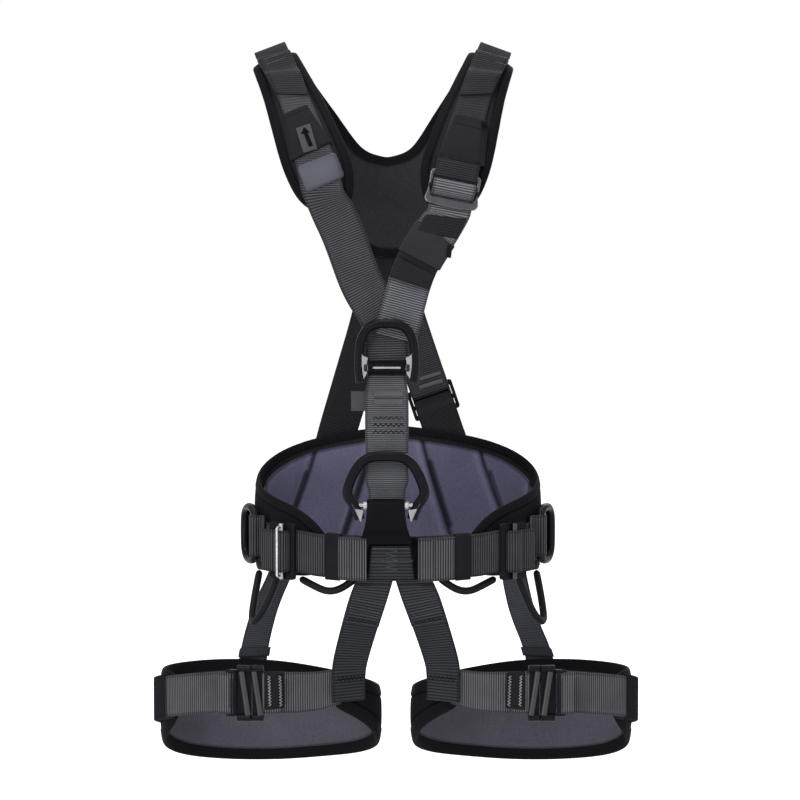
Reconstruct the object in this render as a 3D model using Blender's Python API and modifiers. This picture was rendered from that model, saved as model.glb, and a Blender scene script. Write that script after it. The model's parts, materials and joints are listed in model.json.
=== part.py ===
"""Full-body tree climbing harness: padded yoke, waist belt and leg loops.

Metres, +Z up, the wearer faces -Y and +X is the viewer's right.
The origin is the centre of the waist opening, level with the side rings.
"""

import math

import bmesh
import bpy
import numpy as np
from mathutils import Matrix, Vector

MM = 0.001

# Webbing and the room left between neighbours
WEBBING_WIDTH = 43 * MM
WEBBING_THICKNESS = 2.4 * MM
LAYER_GAP = 0.4 * MM
LOOP_WIDTH = 38 * MM
ELASTIC_WIDTH = 31 * MM
LEG_STRAP_WIDTH = 38 * MM

# Waist oval and its pad
WAIST_CENTRE_X = 2 * MM
WAIST_HALF_WIDTH = 147 * MM
WAIST_HALF_DEPTH = 100 * MM
WAIST_TILT = 0.15
WAIST_PAD_THICKNESS = 9 * MM
WAIST_LINING_THICKNESS = 7 * MM

# Thigh ovals and their pads
LEG_CENTRE_X = 132 * MM
LEG_CENTRE_Y = -8 * MM
LEG_CENTRE_Z = -180 * MM
LEG_HALF_WIDTH = 113 * MM
LEG_HALF_DEPTH = 68 * MM
LEG_TILT = -0.30
LEG_PAD_THICKNESS = 9 * MM

# Shoulder yoke; the chest half of the harness hangs a little to one side
UPPER_SHIFT = -9 * MM
YOKE_SHIFT = -11 * MM
YOKE_LEAN = -0.04
YOKE_LEVEL_Z = 425 * MM
YOKE_THICKNESS = 10 * MM
BACK_PLANE_Y = 108 * MM
STRAP_NECK = 0.8

# Rings
RING_ROD_RADIUS = 4.2 * MM
RING_LEAN = math.radians(4)
PIN_RADIUS = 4 * MM
PIN_SPIGOT_RADIUS = 2.2 * MM
STERNAL_Z = 179 * MM
STERNAL_HEIGHT = 44 * MM
VENTRAL_Z = 40 * MM
VENTRAL_HEIGHT = 50 * MM
VENTRAL_SPREAD = 11 * MM
RING_LUG = 3.4 * MM
SLEEVE_WALL = 2 * MM
SLEEVE_SLOT_LENGTH = 28 * MM
SLEEVE_SLOT_HEIGHT = 3.6 * MM
CHEST_PLANE_Y = -119 * MM
SIDE_RING_ANGLE = 111
SIDE_RING_DEPTH = 35 * MM
SIDE_RING_RISE = 6 * MM
SIDE_RING_TUCK = math.radians(8)
DORSAL_Z = 262 * MM

# Adjusters: a flat frame with a loose gripping bar
BUCKLE_THICKNESS = 4 * MM
BUCKLE_ARM = 3.6 * MM
BUCKLE_BAR = 5 * MM
BUCKLE_WINDOW = 23 * MM
BUCKLE_SIDE_ROOM = 0.6 * MM
BELT_BUCKLE_ARM = 7 * MM
GRIP_RADIUS = 2.5 * MM
GRIP_TRAVEL = 3 * MM
GRIP_REST = 9.5 * MM

# Two-piece leg buckles
LEG_BUCKLE_BAR = 5 * MM
LEG_HOOK_THICKNESS = 3.5 * MM

# Keepers and gear loops
KEEPER_WALL = 1.6 * MM
GEAR_RADIUS = 4 * MM
CROTCH_X = -1.5 * MM
CROTCH_Z = -40 * MM

# Worked out from the sizes above
HALF_WEB = WEBBING_THICKNESS / 2
LAYER = WEBBING_THICKNESS + LAYER_GAP
ON_WAIST = WAIST_PAD_THICKNESS / 2 + LAYER_GAP + HALF_WEB
ON_LEG = LEG_PAD_THICKNESS / 2 + LAYER_GAP + HALF_WEB
ON_YOKE = YOKE_THICKNESS / 2 + LAYER_GAP + HALF_WEB
LEAF = BUCKLE_THICKNESS / 2 + LAYER_GAP + HALF_WEB
BUCKLE_LIFT = LEAF + LAYER + HALF_WEB + LAYER_GAP
SLEEVE_RADIUS = PIN_RADIUS + LAYER_GAP + SLEEVE_WALL
STERNAL_Y = CHEST_PLANE_Y - HALF_WEB - LAYER_GAP - SLEEVE_RADIUS
VENTRAL_FOLD = PIN_RADIUS + LAYER_GAP + HALF_WEB
VENTRAL_Y = CHEST_PLANE_Y - LAYER - VENTRAL_FOLD
BRIDGE_OUT = 3.5 * MM
BELT_OUT = BRIDGE_OUT + 2 * LAYER
BACK_LAYER = 3.2

# Half heights of the pads: angle from the back in degrees, top and bottom in mm
WAIST_EDGE = ((0, 89, -79), (45, 77, -66), (75, 64, -50), (90, 57, -42), (105, 52, -35),
              (120, 48, -31), (136, 42, -28), (147, 27, -23), (153, 9, -10))
LEG_EDGE = ((-145, 20, -12), (-120, 20, -27), (-90, 18, -44), (-60, 29, -51), (-30, 43, -54),
            (0, 53, -57), (30, 53, -57), (60, 46, -54), (90, 36, -46), (112, 29, -35), (124, 20, -20))

# Yoke rows on the right side from the lobe's lower end over the shoulder to the spine, in mm
YOKE_ROWS = (
    ((74, -108, 334), (40, -110, 342)),
    ((91, -105, 347), (35, -110, 350)),
    ((105, -95, 377), (33, -103, 375)),
    ((114, -75, 411), (41, -90, 402)),
    ((124, -40, 450), (61, -53, 447)),
    ((133, -12, 475), (82, -12, 486)),
    ((136, 12, 483), (90, 12, 500)),
    ((133, 36, 475), (87, 38, 491)),
    ((120, 72, 438), (71, 63, 466)),
    ((98, 93, 392), (50, 86, 436)),
    ((68, 102, 338), (28, 95, 404)),
    ((30, 107, 292), (10, 98.5, 396)),
    ((0, 108, 285), (0, 100, 394)),
)

FINISHES = {
    "webbing": ((0.035, 0.035, 0.04), 0.85, 0.0),
    "pad_shell": ((0.012, 0.012, 0.014), 0.9, 0.0),
    "pad_lining": ((0.075, 0.072, 0.1), 0.95, 0.0),
    "elastic": ((0.02, 0.02, 0.024), 0.8, 0.0),
    "ring_metal": ((0.01, 0.01, 0.011), 0.25, 0.6),
    "pin_metal": ((0.75, 0.75, 0.76), 0.3, 1.0),
    "buckle_metal": ((0.16, 0.16, 0.17), 0.4, 0.9),
    "keeper_plastic": ((0.02, 0.02, 0.022), 0.55, 0.0),
    "gear_tube": ((0.02, 0.02, 0.022), 0.5, 0.0),
}


def clear_scene():
    """Remove whatever the new file holds."""
    for item in list(bpy.data.objects):
        bpy.data.objects.remove(item, do_unlink=True)


def collection(name):
    """A collection linked to the scene."""
    group = bpy.data.collections.new(name)
    bpy.context.scene.collection.children.link(group)
    return group


def finish(obj, slot):
    """Give the piece its own Principled material."""
    colour, roughness, metallic = FINISHES[slot]
    material = bpy.data.materials.new(obj.name + "_" + slot)
    material.use_nodes = True
    shader = material.node_tree.nodes["Principled BSDF"]
    shader.inputs["Base Color"].default_value = (*colour, 1)
    shader.inputs["Roughness"].default_value = roughness
    shader.inputs["Metallic"].default_value = metallic
    obj.data.materials.append(material)
    return obj


def add(name, data, slot=None):
    """Link new data as a piece of the harness, or as a hidden cutter when it has no finish."""
    obj = bpy.data.objects.new(name, data)
    if slot:
        HARNESS.objects.link(obj)
        return finish(obj, slot)
    CUTTERS.objects.link(obj)
    obj.hide_render = True
    obj.display_type = "WIRE"
    return obj


def vec(x, y, z):
    """A point given in millimetres."""
    return Vector((x, y, z)) * MM


def smooth(rows, steps):
    """Points of a Catmull-Rom curve through the rows, with so many steps to a span."""
    rows = [np.array(row, dtype=float) for row in rows]
    rows = [2 * rows[0] - rows[1]] + rows + [2 * rows[-1] - rows[-2]]
    points = []
    for a, b, c, d in zip(rows, rows[1:], rows[2:], rows[3:]):
        for step in range(steps):
            t = step / steps
            points.append(0.5 * (2 * b + (c - a) * t + (2 * a - 5 * b + 4 * c - d) * t * t
                                 + (3 * b - a - 3 * c + d) * t ** 3))
    points.append(rows[-2])
    return points


def curve_points(points, steps):
    """Vectors along a smooth curve through the points."""
    return [Vector(point) for point in smooth(points, steps)]


def grid(name, rows):
    """A sheet mesh with one vertex for each point of the rows."""
    across = len(rows[0]) - 1
    along = len(rows) - 1
    bm = bmesh.new()
    bmesh.ops.create_grid(bm, x_segments=across, y_segments=along, size=1)
    for vert in bm.verts:
        i = round((vert.co.x + 1) / 2 * across)
        j = round((vert.co.y + 1) / 2 * along)
        vert.co = rows[j][i]
    mesh = bpy.data.meshes.new(name)
    bm.to_mesh(mesh)
    bm.free()
    return mesh


def thicken(obj, thickness, offset=0.0):
    """Turn a sheet into a solid of even thickness."""
    shell = obj.modifiers.new("Thickness", "SOLIDIFY")
    shell.thickness = thickness
    shell.offset = offset
    shell.use_even_offset = True
    return shell


def ribbon(name, stations, slot="webbing", thickness=WEBBING_THICKNESS):
    """A flat strap through (centre, across) stations; across holds the width."""
    rows = []
    previous = stations[0][1]
    for centre, across in stations:
        if across.dot(previous) < 0:
            across = -across
        rows.append([centre - across / 2, centre + across / 2])
        previous = across
    obj = add(name, grid(name, rows), slot)
    thicken(obj, thickness)
    return obj


def facing(points, outward, width, outward_end=None):
    """Stations square to the path, with the strap's face turned outward at both ends."""
    stations = []
    last = len(points) - 1
    for i, point in enumerate(points):
        ahead = points[min(i + 1, last)] - points[max(i - 1, 0)]
        normal = outward.lerp(outward_end, i / last) if outward_end else outward
        side = ahead.cross(normal).normalized()
        stations.append((point, side * width))
    return stations


def cushion(name, rows, weights, thickness, slot, edge_share, offset=0.0):
    """A pad: a sheet thickened most where its weight is 1 and least at its edges."""
    obj = add(name, grid(name, rows), slot)
    obj.data.polygons.foreach_set("use_smooth", [True] * len(obj.data.polygons))
    across = len(rows[0])
    group = obj.vertex_groups.new(name="crown")
    lookup = {tuple(round(c, 7) for c in rows[j][i]): weights[j][i]
              for j in range(len(rows)) for i in range(across)}
    for vert in obj.data.vertices:
        group.add([vert.index], lookup[tuple(round(c, 7) for c in vert.co)], "REPLACE")
    shell = thicken(obj, thickness, offset)
    shell.vertex_group = "crown"
    shell.thickness_vertex_group = edge_share
    return obj


def crown(along, across):
    """Weights that fall off at the four edges."""
    table = []
    for j in range(along):
        near = [min(i, across - 1 - i, j, along - 1 - j) for i in range(across)]
        table.append([(0.0, 0.75, 1.0)[min(n, 2)] for n in near])
    return table


def outline(name, loops, depth, slot=None):
    """A flat piece: closed outlines, the later ones cut out, with the given thickness."""
    curve = bpy.data.curves.new(name, "CURVE")
    curve.dimensions = "2D"
    curve.fill_mode = "BOTH"
    curve.extrude = depth / 2
    for loop in loops:
        spline = curve.splines.new("POLY")
        spline.points.add(len(loop) - 1)
        for point, (x, y) in zip(spline.points, loop):
            point.co = (x, y, 0, 1)
        spline.use_cyclic_u = True
    return add(name, curve, slot)


def box_loop(x0, x1, y0, y1, radius, steps=3):
    """Corners of a rectangle with rounded corners."""
    points = []
    for cx, cy, turn in ((x1, y1, 0), (x0, y1, 90), (x0, y0, 180), (x1, y0, 270)):
        inner_x = cx - math.copysign(radius, cx - (x0 + x1) / 2)
        inner_y = cy - math.copysign(radius, cy - (y0 + y1) / 2)
        for step in range(steps + 1):
            angle = math.radians(turn + 90 * step / steps)
            points.append((inner_x + radius * math.cos(angle), inner_y + radius * math.sin(angle)))
    return points


def circle_loop(radius, count=20):
    """Points of a circle."""
    return [(radius * math.cos(2 * math.pi * i / count), radius * math.sin(2 * math.pi * i / count))
            for i in range(count)]


def tube(name, points, radius, slot=None, closed=False, radii=None):
    """A round rod along the points, with a flat of its eight sides turned to the inside."""
    curve = bpy.data.curves.new(name, "CURVE")
    curve.dimensions = "3D"
    curve.bevel_depth = radius
    curve.bevel_resolution = 2
    curve.use_fill_caps = True
    spline = curve.splines.new("POLY")
    spline.points.add(len(points) - 1)
    for i, point in enumerate(points):
        spline.points[i].co = (*point, 1)
        spline.points[i].tilt = math.radians(22.5)
        if radii:
            spline.points[i].radius = radii[i]
    spline.use_cyclic_u = closed
    spline.use_smooth = True
    return add(name, curve, slot)


def cylinder(name, radius, length, slot=None, sides=20):
    """A round bar along its own Z axis."""
    mesh = bpy.data.meshes.new(name)
    bm = bmesh.new()
    bmesh.ops.create_cone(bm, cap_ends=True, segments=sides, radius1=radius, radius2=radius, depth=length)
    bm.to_mesh(mesh)
    bm.free()
    return add(name, mesh, slot)


def block(name, size, centre, slot=None):
    """A box with its own size and centre."""
    mesh = bpy.data.meshes.new(name)
    bm = bmesh.new()
    bmesh.ops.create_cube(bm, size=1)
    bmesh.ops.scale(bm, vec=Vector(size), verts=bm.verts)
    bmesh.ops.translate(bm, vec=Vector(centre), verts=bm.verts)
    bm.to_mesh(mesh)
    bm.free()
    return add(name, mesh, slot)


def as_mesh(obj, slot):
    """Swap a curve piece for a mesh piece of the same name and place."""
    bpy.context.view_layer.update()
    seen = obj.evaluated_get(bpy.context.evaluated_depsgraph_get())
    mesh = bpy.data.meshes.new_from_object(seen)
    name, place = obj.name, obj.matrix_world.copy()
    bpy.data.objects.remove(obj, do_unlink=True)
    bm = bmesh.new()
    bm.from_mesh(mesh)
    bmesh.ops.remove_doubles(bm, verts=bm.verts, dist=0.00001)
    bm.to_mesh(mesh)
    bm.free()
    mesh.materials.clear()
    made = add(name, mesh, slot)
    made.matrix_world = place
    return made


def combine(obj, other, operation):
    """Add to or cut from a piece with an exact Boolean."""
    step = obj.modifiers.new(operation.title(), "BOOLEAN")
    step.operation = operation
    step.solver = "EXACT"
    step.object = other


def place(origin, along, normal):
    """A placing matrix: Y runs along, Z along the normal made square to it."""
    y = along.normalized()
    x = y.cross(normal).normalized()
    z = x.cross(y)
    rotation = Matrix((x, y, z)).transposed().to_4x4()
    return Matrix.Translation(origin) @ rotation


def arc(centre, radius, start, end, steps=8):
    """Points of an arc in a strap's own (along, outward) plane, angles in degrees from along."""
    points = []
    for step in range(steps + 1):
        angle = math.radians(start + (end - start) * step / steps)
        points.append((centre[0] + radius * math.cos(angle), centre[1] + radius * math.sin(angle)))
    return points


def in_frame(frame, points, width):
    """Stations from (along, outward) points held in a buckle's own frame."""
    across = frame.to_3x3() @ Vector((width, 0, 0))
    return [(frame @ Vector((0, along, outward)), across) for along, outward in points]


class Oval:
    """An oval strap line whose height follows its depth; angles run from the back in degrees."""

    def __init__(self, centre, half_width, half_depth, tilt):
        self.centre = centre
        self.half_width = half_width
        self.half_depth = half_depth
        self.tilt = tilt

    def normal(self, angle):
        """Outward direction, level."""
        a = math.radians(angle)
        return Vector((math.sin(a) / self.half_width, math.cos(a) / self.half_depth, 0)).normalized()

    def point(self, angle, out=0.0, up=0.0):
        """A point so far outside the line and so far above it."""
        a = math.radians(angle)
        flat = Vector((self.half_width * math.sin(a), self.half_depth * math.cos(a), 0))
        flat = flat + self.normal(angle) * out
        return self.centre + flat + Vector((0, 0, self.tilt * flat.y + up))

    def at_height(self, angle, out, z):
        """A point on the same upright line at a given height."""
        spot = self.point(angle, out)
        return Vector((spot.x, spot.y, z))

    def frame(self, angle, out, sign):
        """Buckle frame: along points to rising or falling angle by the sign."""
        step = self.point(angle + 2 * sign) - self.point(angle - 2 * sign)
        step.z = 0
        return place(self.point(angle, out), step, self.normal(angle))

    def stations(self, angles, out, width, up=0.0):
        """Upright strap stations along the line."""
        return [(self.point(angle, out, up), Vector((0, 0, width))) for angle in angles]


def steps_between(start, end, count):
    """Evenly spaced values including both ends."""
    return [start + (end - start) * i / count for i in range(count + 1)]


def edge_at(table, angle):
    """Top and bottom of a pad at an angle, smoothly between the table's rows."""
    fine = smooth(table, 6)
    for low, high in zip(fine, fine[1:]):
        if low[0] <= angle <= high[0]:
            t = (angle - low[0]) / (high[0] - low[0])
            row = low + (high - low) * t
            return row[1] * MM, row[2] * MM
    return fine[-1][1] * MM, fine[-1][2] * MM


WAIST = Oval(Vector((WAIST_CENTRE_X, 0, 0)), WAIST_HALF_WIDTH, WAIST_HALF_DEPTH, WAIST_TILT)


def front_spot(x, out, z):
    """A point on the front of the waist line at a given x and height."""
    angle = 180 - math.degrees(math.asin((x - WAIST_CENTRE_X) / WAIST_HALF_WIDTH))
    return WAIST.at_height(angle, out, z)


def leg_oval(side):
    """The thigh line on the right (1) or the left (-1)."""
    centre = Vector((side * LEG_CENTRE_X, LEG_CENTRE_Y, LEG_CENTRE_Z))
    return Oval(centre, LEG_HALF_WIDTH, LEG_HALF_DEPTH, LEG_TILT)


class SlideBuckle:
    """A three-bar adjuster: webbing is sewn round one end bar and grips round the loose bar."""

    def __init__(self, tag, frame, arm=BUCKLE_ARM):
        self.tag = tag
        self.frame = frame
        self.arm = arm
        self.half = BUCKLE_WINDOW / 2
        self.grip = (GRIP_REST - self.half, BUCKLE_THICKNESS / 2 + LAYER_GAP + GRIP_RADIUS)

    def build(self):
        """Make the flat frame and the loose bar that lies across its front."""
        wide = WEBBING_WIDTH / 2 + BUCKLE_SIDE_ROOM
        long = self.half + BUCKLE_BAR
        outer = box_loop(-wide - self.arm, wide + self.arm, -long, long, 3 * MM)
        window = box_loop(-wide, wide, -self.half, self.half, 1.5 * MM)
        body = outline(self.tag + "_frame", [outer, window], BUCKLE_THICKNESS, "buckle_metal")
        body.matrix_world = self.frame
        bar = cylinder(self.tag + "_bar", GRIP_RADIUS, 2 * (wide + self.arm) - 1 * MM, "buckle_metal")
        spot = Matrix.Translation((0, self.grip[0], self.grip[1]))
        bar.matrix_world = self.frame @ spot @ Matrix.Rotation(math.pi / 2, 4, "Y")

    def sewn_loop(self, front, back):
        """Path of the fixed strap round the end bar: from the strap behind to the short leaf in front."""
        points = [(self.half + back, -LEAF)] + arc((self.half, 0), LEAF, 270, 90)
        points.append((self.half + front, LEAF))
        return in_frame(self.frame, points, WEBBING_WIDTH)

    def grip_loop(self, reach):
        """Path of the sliding strap: load strand, round the loose bar, tail strand."""
        y, z = self.grip
        wrap = GRIP_RADIUS + LAYER_GAP + HALF_WEB
        load = -LEAF - LAYER
        foot = -self.half
        end = foot - BUCKLE_BAR - reach
        points = [(end, load), (foot - 1 * MM, load), (foot + 2.7 * MM, load + 0.1 * MM)]
        points += [(y - 3.6 * MM, z - 8.1 * MM), (y - 1.2 * MM, z - wrap - 1 * MM)]
        points += arc((y + GRIP_TRAVEL, z), wrap, -90, 90)
        points += [(y - 0.4 * MM, z + wrap), (y - 2.6 * MM, z + 3.3 * MM), (y - 4.6 * MM, z + 0.1 * MM)]
        points += [(y - 6.2 * MM, z - 4.4 * MM), (foot + 2.1 * MM, -LEAF + 0.6 * MM)]
        points += [(foot - 1.4 * MM, -LEAF), (end, -LEAF)]
        return in_frame(self.frame, points, WEBBING_WIDTH)


def keeper(name, oval, angles, out, layers):
    """A sleeve round a stack of webbing, bent along the strap's oval."""
    wide = WEBBING_WIDTH / 2 + LAYER_GAP
    high = layers * LAYER / 2 + LAYER_GAP
    rows = []
    for angle in angles:
        loop = box_loop(-wide, wide, -high, high, 0.8 * MM, 2)
        rows.append([oval.point(angle, out + o, u) for u, o in loop + loop[:1]])
    body = add(name, grid(name, rows), "keeper_plastic")
    bm = bmesh.new()
    bm.from_mesh(body.data)
    bmesh.ops.remove_doubles(bm, verts=bm.verts, dist=0.00001)
    bm.to_mesh(body.data)
    bm.free()
    thicken(body, KEEPER_WALL, 1.0 if angles[0] > angles[-1] else -1.0)
    return body


def yoke_rows(steps):
    """Smoothed yoke rows as pairs of points on the right side."""
    flat = [outer + inner for outer, inner in YOKE_ROWS]
    return [(Vector(row[:3]) * MM, Vector(row[3:]) * MM) for row in smooth(flat, steps)]


YOKE_FINE = yoke_rows(4)


def on_yoke(row, share, side):
    """A point of the yoke's middle surface, on the side asked for, leaned as the yoke hangs."""
    outer, inner = row
    point = outer.lerp(inner, share)
    lean = YOKE_SHIFT + YOKE_LEAN * (point.z - YOKE_LEVEL_Z)
    return Vector((side * point.x + lean, point.y, point.z))


def yoke_spot(row, share, side):
    """Point, inward direction across, outward normal and direction along on the yoke."""
    here = YOKE_FINE[row]
    point = on_yoke(here, share, side)
    last = len(YOKE_FINE) - 1
    ahead = on_yoke(YOKE_FINE[min(row + 1, last)], share, side)
    along = (ahead - on_yoke(YOKE_FINE[max(row - 1, 0)], share, side)).normalized()
    across = (on_yoke(here, 1, side) - on_yoke(here, 0, side)).normalized()
    normal = along.cross(across).normalized()
    core = Vector((YOKE_SHIFT + (point.x - YOKE_SHIFT) * 0.8, 0, 0.38))
    if normal.dot(point - core) < 0:
        normal.negate()
    return point, across, normal, along


def yoke_stations(rows, lift, side):
    """Strap stations along the middle of the yoke's lobe, narrower over the shoulder."""
    stations = []
    for row, height in zip(rows, lift):
        point, across, normal, _ = yoke_spot(row, 0.5, side)
        share = min(1.0, max(STRAP_NECK, 1 - (1 - STRAP_NECK) * (row - 10) / 6))
        stations.append((point + normal * height, across * share * WEBBING_WIDTH))
    return stations


def build_yoke():
    """The padded yoke from one lobe round the back to the other, and the loops on top of it."""
    shares = steps_between(0, 1, 6)
    half = yoke_rows(2)
    rows = [[on_yoke(row, share, 1) for share in shares] for row in half]
    rows += [[on_yoke(row, share, -1) for share in shares] for row in reversed(half[:-1])]
    cushion("yoke_pad", rows, crown(len(rows), len(shares)), YOKE_THICKNESS, "pad_shell", 0.4)
    for side, tag in ((-1, "left"), (1, "right")):
        rows = list(range(25, 15, -1))
        base = ON_YOKE + LAYER
        lift = [base + (5 * MM if i % 3 == 1 else 2.4 * MM if i % 3 == 2 else 0) for i in range(len(rows))]
        ribbon("shoulder_loops_" + tag, yoke_stations(rows, lift, side))


def build_chest():
    """Chest straps, their adjuster and keeper."""
    front = Vector((0, -1, 0))
    rows = list(range(26, 4, -1))
    rise = [ON_YOKE + max(0, 9 - row) * 0.9 * MM for row in rows]
    left = yoke_stations(rows, rise, -1)
    last = left[-1][0]
    shift = Vector((UPPER_SHIFT, 0, 0))
    free = [last, vec(-44, -116, 312) + shift, vec(-25, -118.5, 262) + shift]
    free.append(Vector((UPPER_SHIFT - 3 * MM, CHEST_PLANE_Y, STERNAL_Z + 44 * MM)))
    free.append(Vector((UPPER_SHIFT, CHEST_PLANE_Y, STERNAL_Z + 12 * MM)))
    path = facing(curve_points(free, 4), front, -WEBBING_WIDTH)[2:]
    across = Vector((LOOP_WIDTH, 0, 0))
    neck = [(Vector((UPPER_SHIFT, CHEST_PLANE_Y, STERNAL_Z - drop * MM)), across) for drop in (0, 20, 38)]
    ribbon("chest_strap_left", left + path + neck)

    spot, _, normal, along = yoke_spot(5, 0.5, 1)
    frame = place(spot + normal * (YOKE_THICKNESS / 2 + BUCKLE_LIFT + 2 * MM), along, normal)
    buckle = SlideBuckle("chest_adjuster", frame)
    buckle.build()
    rows = list(range(26, 9, -1))
    rise = [ON_YOKE + max(0, 13 - row) * 1 * MM for row in rows]
    ribbon("chest_strap_right", yoke_stations(rows, rise, 1) + buckle.sewn_loop(16 * MM, BUCKLE_BAR))

    loop = buckle.grip_loop(8 * MM)
    start = loop[0][0]
    low = [Vector((UPPER_SHIFT + x * MM, CHEST_PLANE_Y - LAYER, z * MM))
           for x, z in ((8, 208), (16, 238), (30, 282))]
    load = facing(curve_points(low + [start], 4), front, WEBBING_WIDTH)[:-1]
    tail_start = loop[-1][0]
    run = (low[2] - start).normalized()
    tail_end = tail_start + run * 46 * MM
    tail = facing([tail_start.lerp(tail_end, t) for t in (0.3, 0.6, 1.0)], front, -WEBBING_WIDTH)
    ribbon("chest_strap_lower", load + loop + tail)


def ring_bow(name, points, centre, slot="ring_metal"):
    """A forged bow bored for its pin; points are (across, up) from the pin's axis."""
    path = [Vector((x, 0, z)) for x, z in points]
    bow = as_mesh(tube(name, path, RING_ROD_RADIUS), slot)
    bore = cylinder(name + "_bore", PIN_SPIGOT_RADIUS + LAYER_GAP / 2, 120 * MM)
    bore.matrix_world = Matrix.Rotation(math.pi / 2, 4, "Y")
    combine(bow, bore, "DIFFERENCE")
    turn = Matrix.Translation(centre) @ Matrix.Rotation(RING_LEAN, 4, "X")
    bow.matrix_world = turn
    bore.matrix_world = turn @ bore.matrix_world
    return bow


def ring_pin(name, centre, half):
    """A shouldered pin: a thick middle and thinner ends that sit in the bow's bores."""
    profile = [(0, half + 2 * RING_ROD_RADIUS), (PIN_SPIGOT_RADIUS, half + 2 * RING_ROD_RADIUS),
               (PIN_SPIGOT_RADIUS, half - LAYER_GAP), (PIN_RADIUS, half - LAYER_GAP)]
    profile += [(r, -z) for r, z in reversed(profile)]
    mesh = bpy.data.meshes.new(name)
    bm = bmesh.new()
    verts = [bm.verts.new((r, 0, z)) for r, z in profile]
    edges = [bm.edges.new(pair) for pair in zip(verts, verts[1:])]
    bmesh.ops.spin(bm, geom=verts + edges, cent=(0, 0, 0), axis=(0, 0, 1), angle=2 * math.pi, steps=16)
    bmesh.ops.remove_doubles(bm, verts=bm.verts, dist=0.00001)
    bmesh.ops.recalc_face_normals(bm, faces=bm.faces)
    bm.to_mesh(mesh)
    bm.free()
    pin = add(name, mesh, "pin_metal")
    pin.matrix_world = Matrix.Translation(centre) @ Matrix.Rotation(math.pi / 2, 4, "Y")
    return pin


def build_front_rings():
    """Sternal and ventral rings with their pins, and the sleeve that carries the sternal pin."""
    inner = LOOP_WIDTH / 2 + 2 * LAYER_GAP + RING_LUG
    leg = inner + RING_ROD_RADIUS
    top = STERNAL_HEIGHT
    foot = -15 * MM
    corner = 16 * MM
    half = [(leg, foot), (leg, top - corner)]
    half += [(leg - corner + corner * math.cos(a), top - corner + corner * math.sin(a))
             for a in map(math.radians, (22, 45, 68, 90))]
    centre = Vector((UPPER_SHIFT, STERNAL_Y, STERNAL_Z))
    ring_bow("sternal_ring", half + [(-x, z) for x, z in reversed(half)], centre)
    ring_pin("sternal_ring_pin", centre, inner)

    rims = [circle_loop(SLEEVE_RADIUS), circle_loop(PIN_RADIUS + LAYER_GAP)]
    sleeve = outline("sternal_sleeve", rims, LOOP_WIDTH)
    sleeve.matrix_world = Matrix.Translation(centre) @ Matrix.Rotation(math.pi / 2, 4, "Y")
    sleeve = as_mesh(sleeve, "pad_shell")
    slot = block("sternal_slot", (SLEEVE_SLOT_LENGTH, 2 * SLEEVE_RADIUS, SLEEVE_SLOT_HEIGHT),
                 centre - Vector((0, SLEEVE_RADIUS, 0)))
    combine(sleeve, slot, "DIFFERENCE")

    wide = leg + VENTRAL_SPREAD
    top = VENTRAL_HEIGHT
    half = [(leg - 1 * MM, -14 * MM), (leg + 1 * MM, -7 * MM), (leg + 5 * MM, 1 * MM), (wide, 11 * MM)]
    half += [(wide - 2 * MM, 23 * MM), (wide - 12 * MM, top - 8 * MM), (wide - 22 * MM, top - 1 * MM)]
    half.append((7 * MM, top))
    centre = Vector((UPPER_SHIFT - 1 * MM, VENTRAL_Y, VENTRAL_Z))
    ring_bow("ventral_ring", half + [(-x, z) for x, z in reversed(half)], centre)
    ring_pin("ventral_ring_pin", centre, inner)


def build_front_column():
    """Sternum strap, belly loop and the sewn crotch junction."""
    x = UPPER_SHIFT
    heights = [(STERNAL_Z - SLEEVE_RADIUS - 1 * MM, LOOP_WIDTH)]
    heights += [(z, WEBBING_WIDTH) for z in (150 * MM, 120 * MM, 80 * MM, VENTRAL_Z + 23 * MM)]
    heights += [(z, LOOP_WIDTH) for z in (VENTRAL_Z + 15 * MM, VENTRAL_Z - 6 * MM)]
    behind = CHEST_PLANE_Y - LAYER
    stations = []
    for z, width in heights:
        y = CHEST_PLANE_Y if z < VENTRAL_Z + 20 * MM else behind
        stations.append((Vector((x, y, z)), Vector((width, 0, 0))))
    ribbon("sternum_strap", stations)

    centre = Vector((x - 1 * MM, VENTRAL_Y, VENTRAL_Z))
    fold = [Vector((0, -y, z)) for y, z in arc((0, 0), VENTRAL_FOLD, 0, 180)]
    face = -(WAIST_HALF_DEPTH + BELT_OUT + LAYER) - VENTRAL_Y + 0.9 * MM
    front = [Vector((0, face - 0.5 * MM, -41 * MM)), Vector((0, face - 1 * MM, -33 * MM)),
             Vector((0, -VENTRAL_FOLD + 1 * MM, -17 * MM))]
    back = [Vector((0, VENTRAL_FOLD, -10 * MM)), Vector((0, VENTRAL_FOLD, -20 * MM))]
    widths = [LOOP_WIDTH + 15 * MM, LOOP_WIDTH + 11 * MM, LOOP_WIDTH + 3 * MM]
    widths += [LOOP_WIDTH] * (len(fold) + len(back))
    points = front + fold + back
    ribbon("belly_loop", [(centre + p, Vector((w, 0, 0))) for p, w in zip(points, widths)], "pad_shell")

    rows = []
    for z, half in ((CROTCH_Z + 0.8 * MM, LEG_STRAP_WIDTH + 1 * MM), (-26 * MM, 0.8 * WEBBING_WIDTH),
                    (-12 * MM, 0.62 * WEBBING_WIDTH), (5 * MM, 0.5 * WEBBING_WIDTH)):
        rows.append([front_spot(CROTCH_X + half * share, BRIDGE_OUT + LAYER, z)
                     for share in steps_between(-1, 1, 6)])
    thicken(add("crotch_junction", grid("crotch_junction", rows), "webbing"), WEBBING_THICKNESS)


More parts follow.
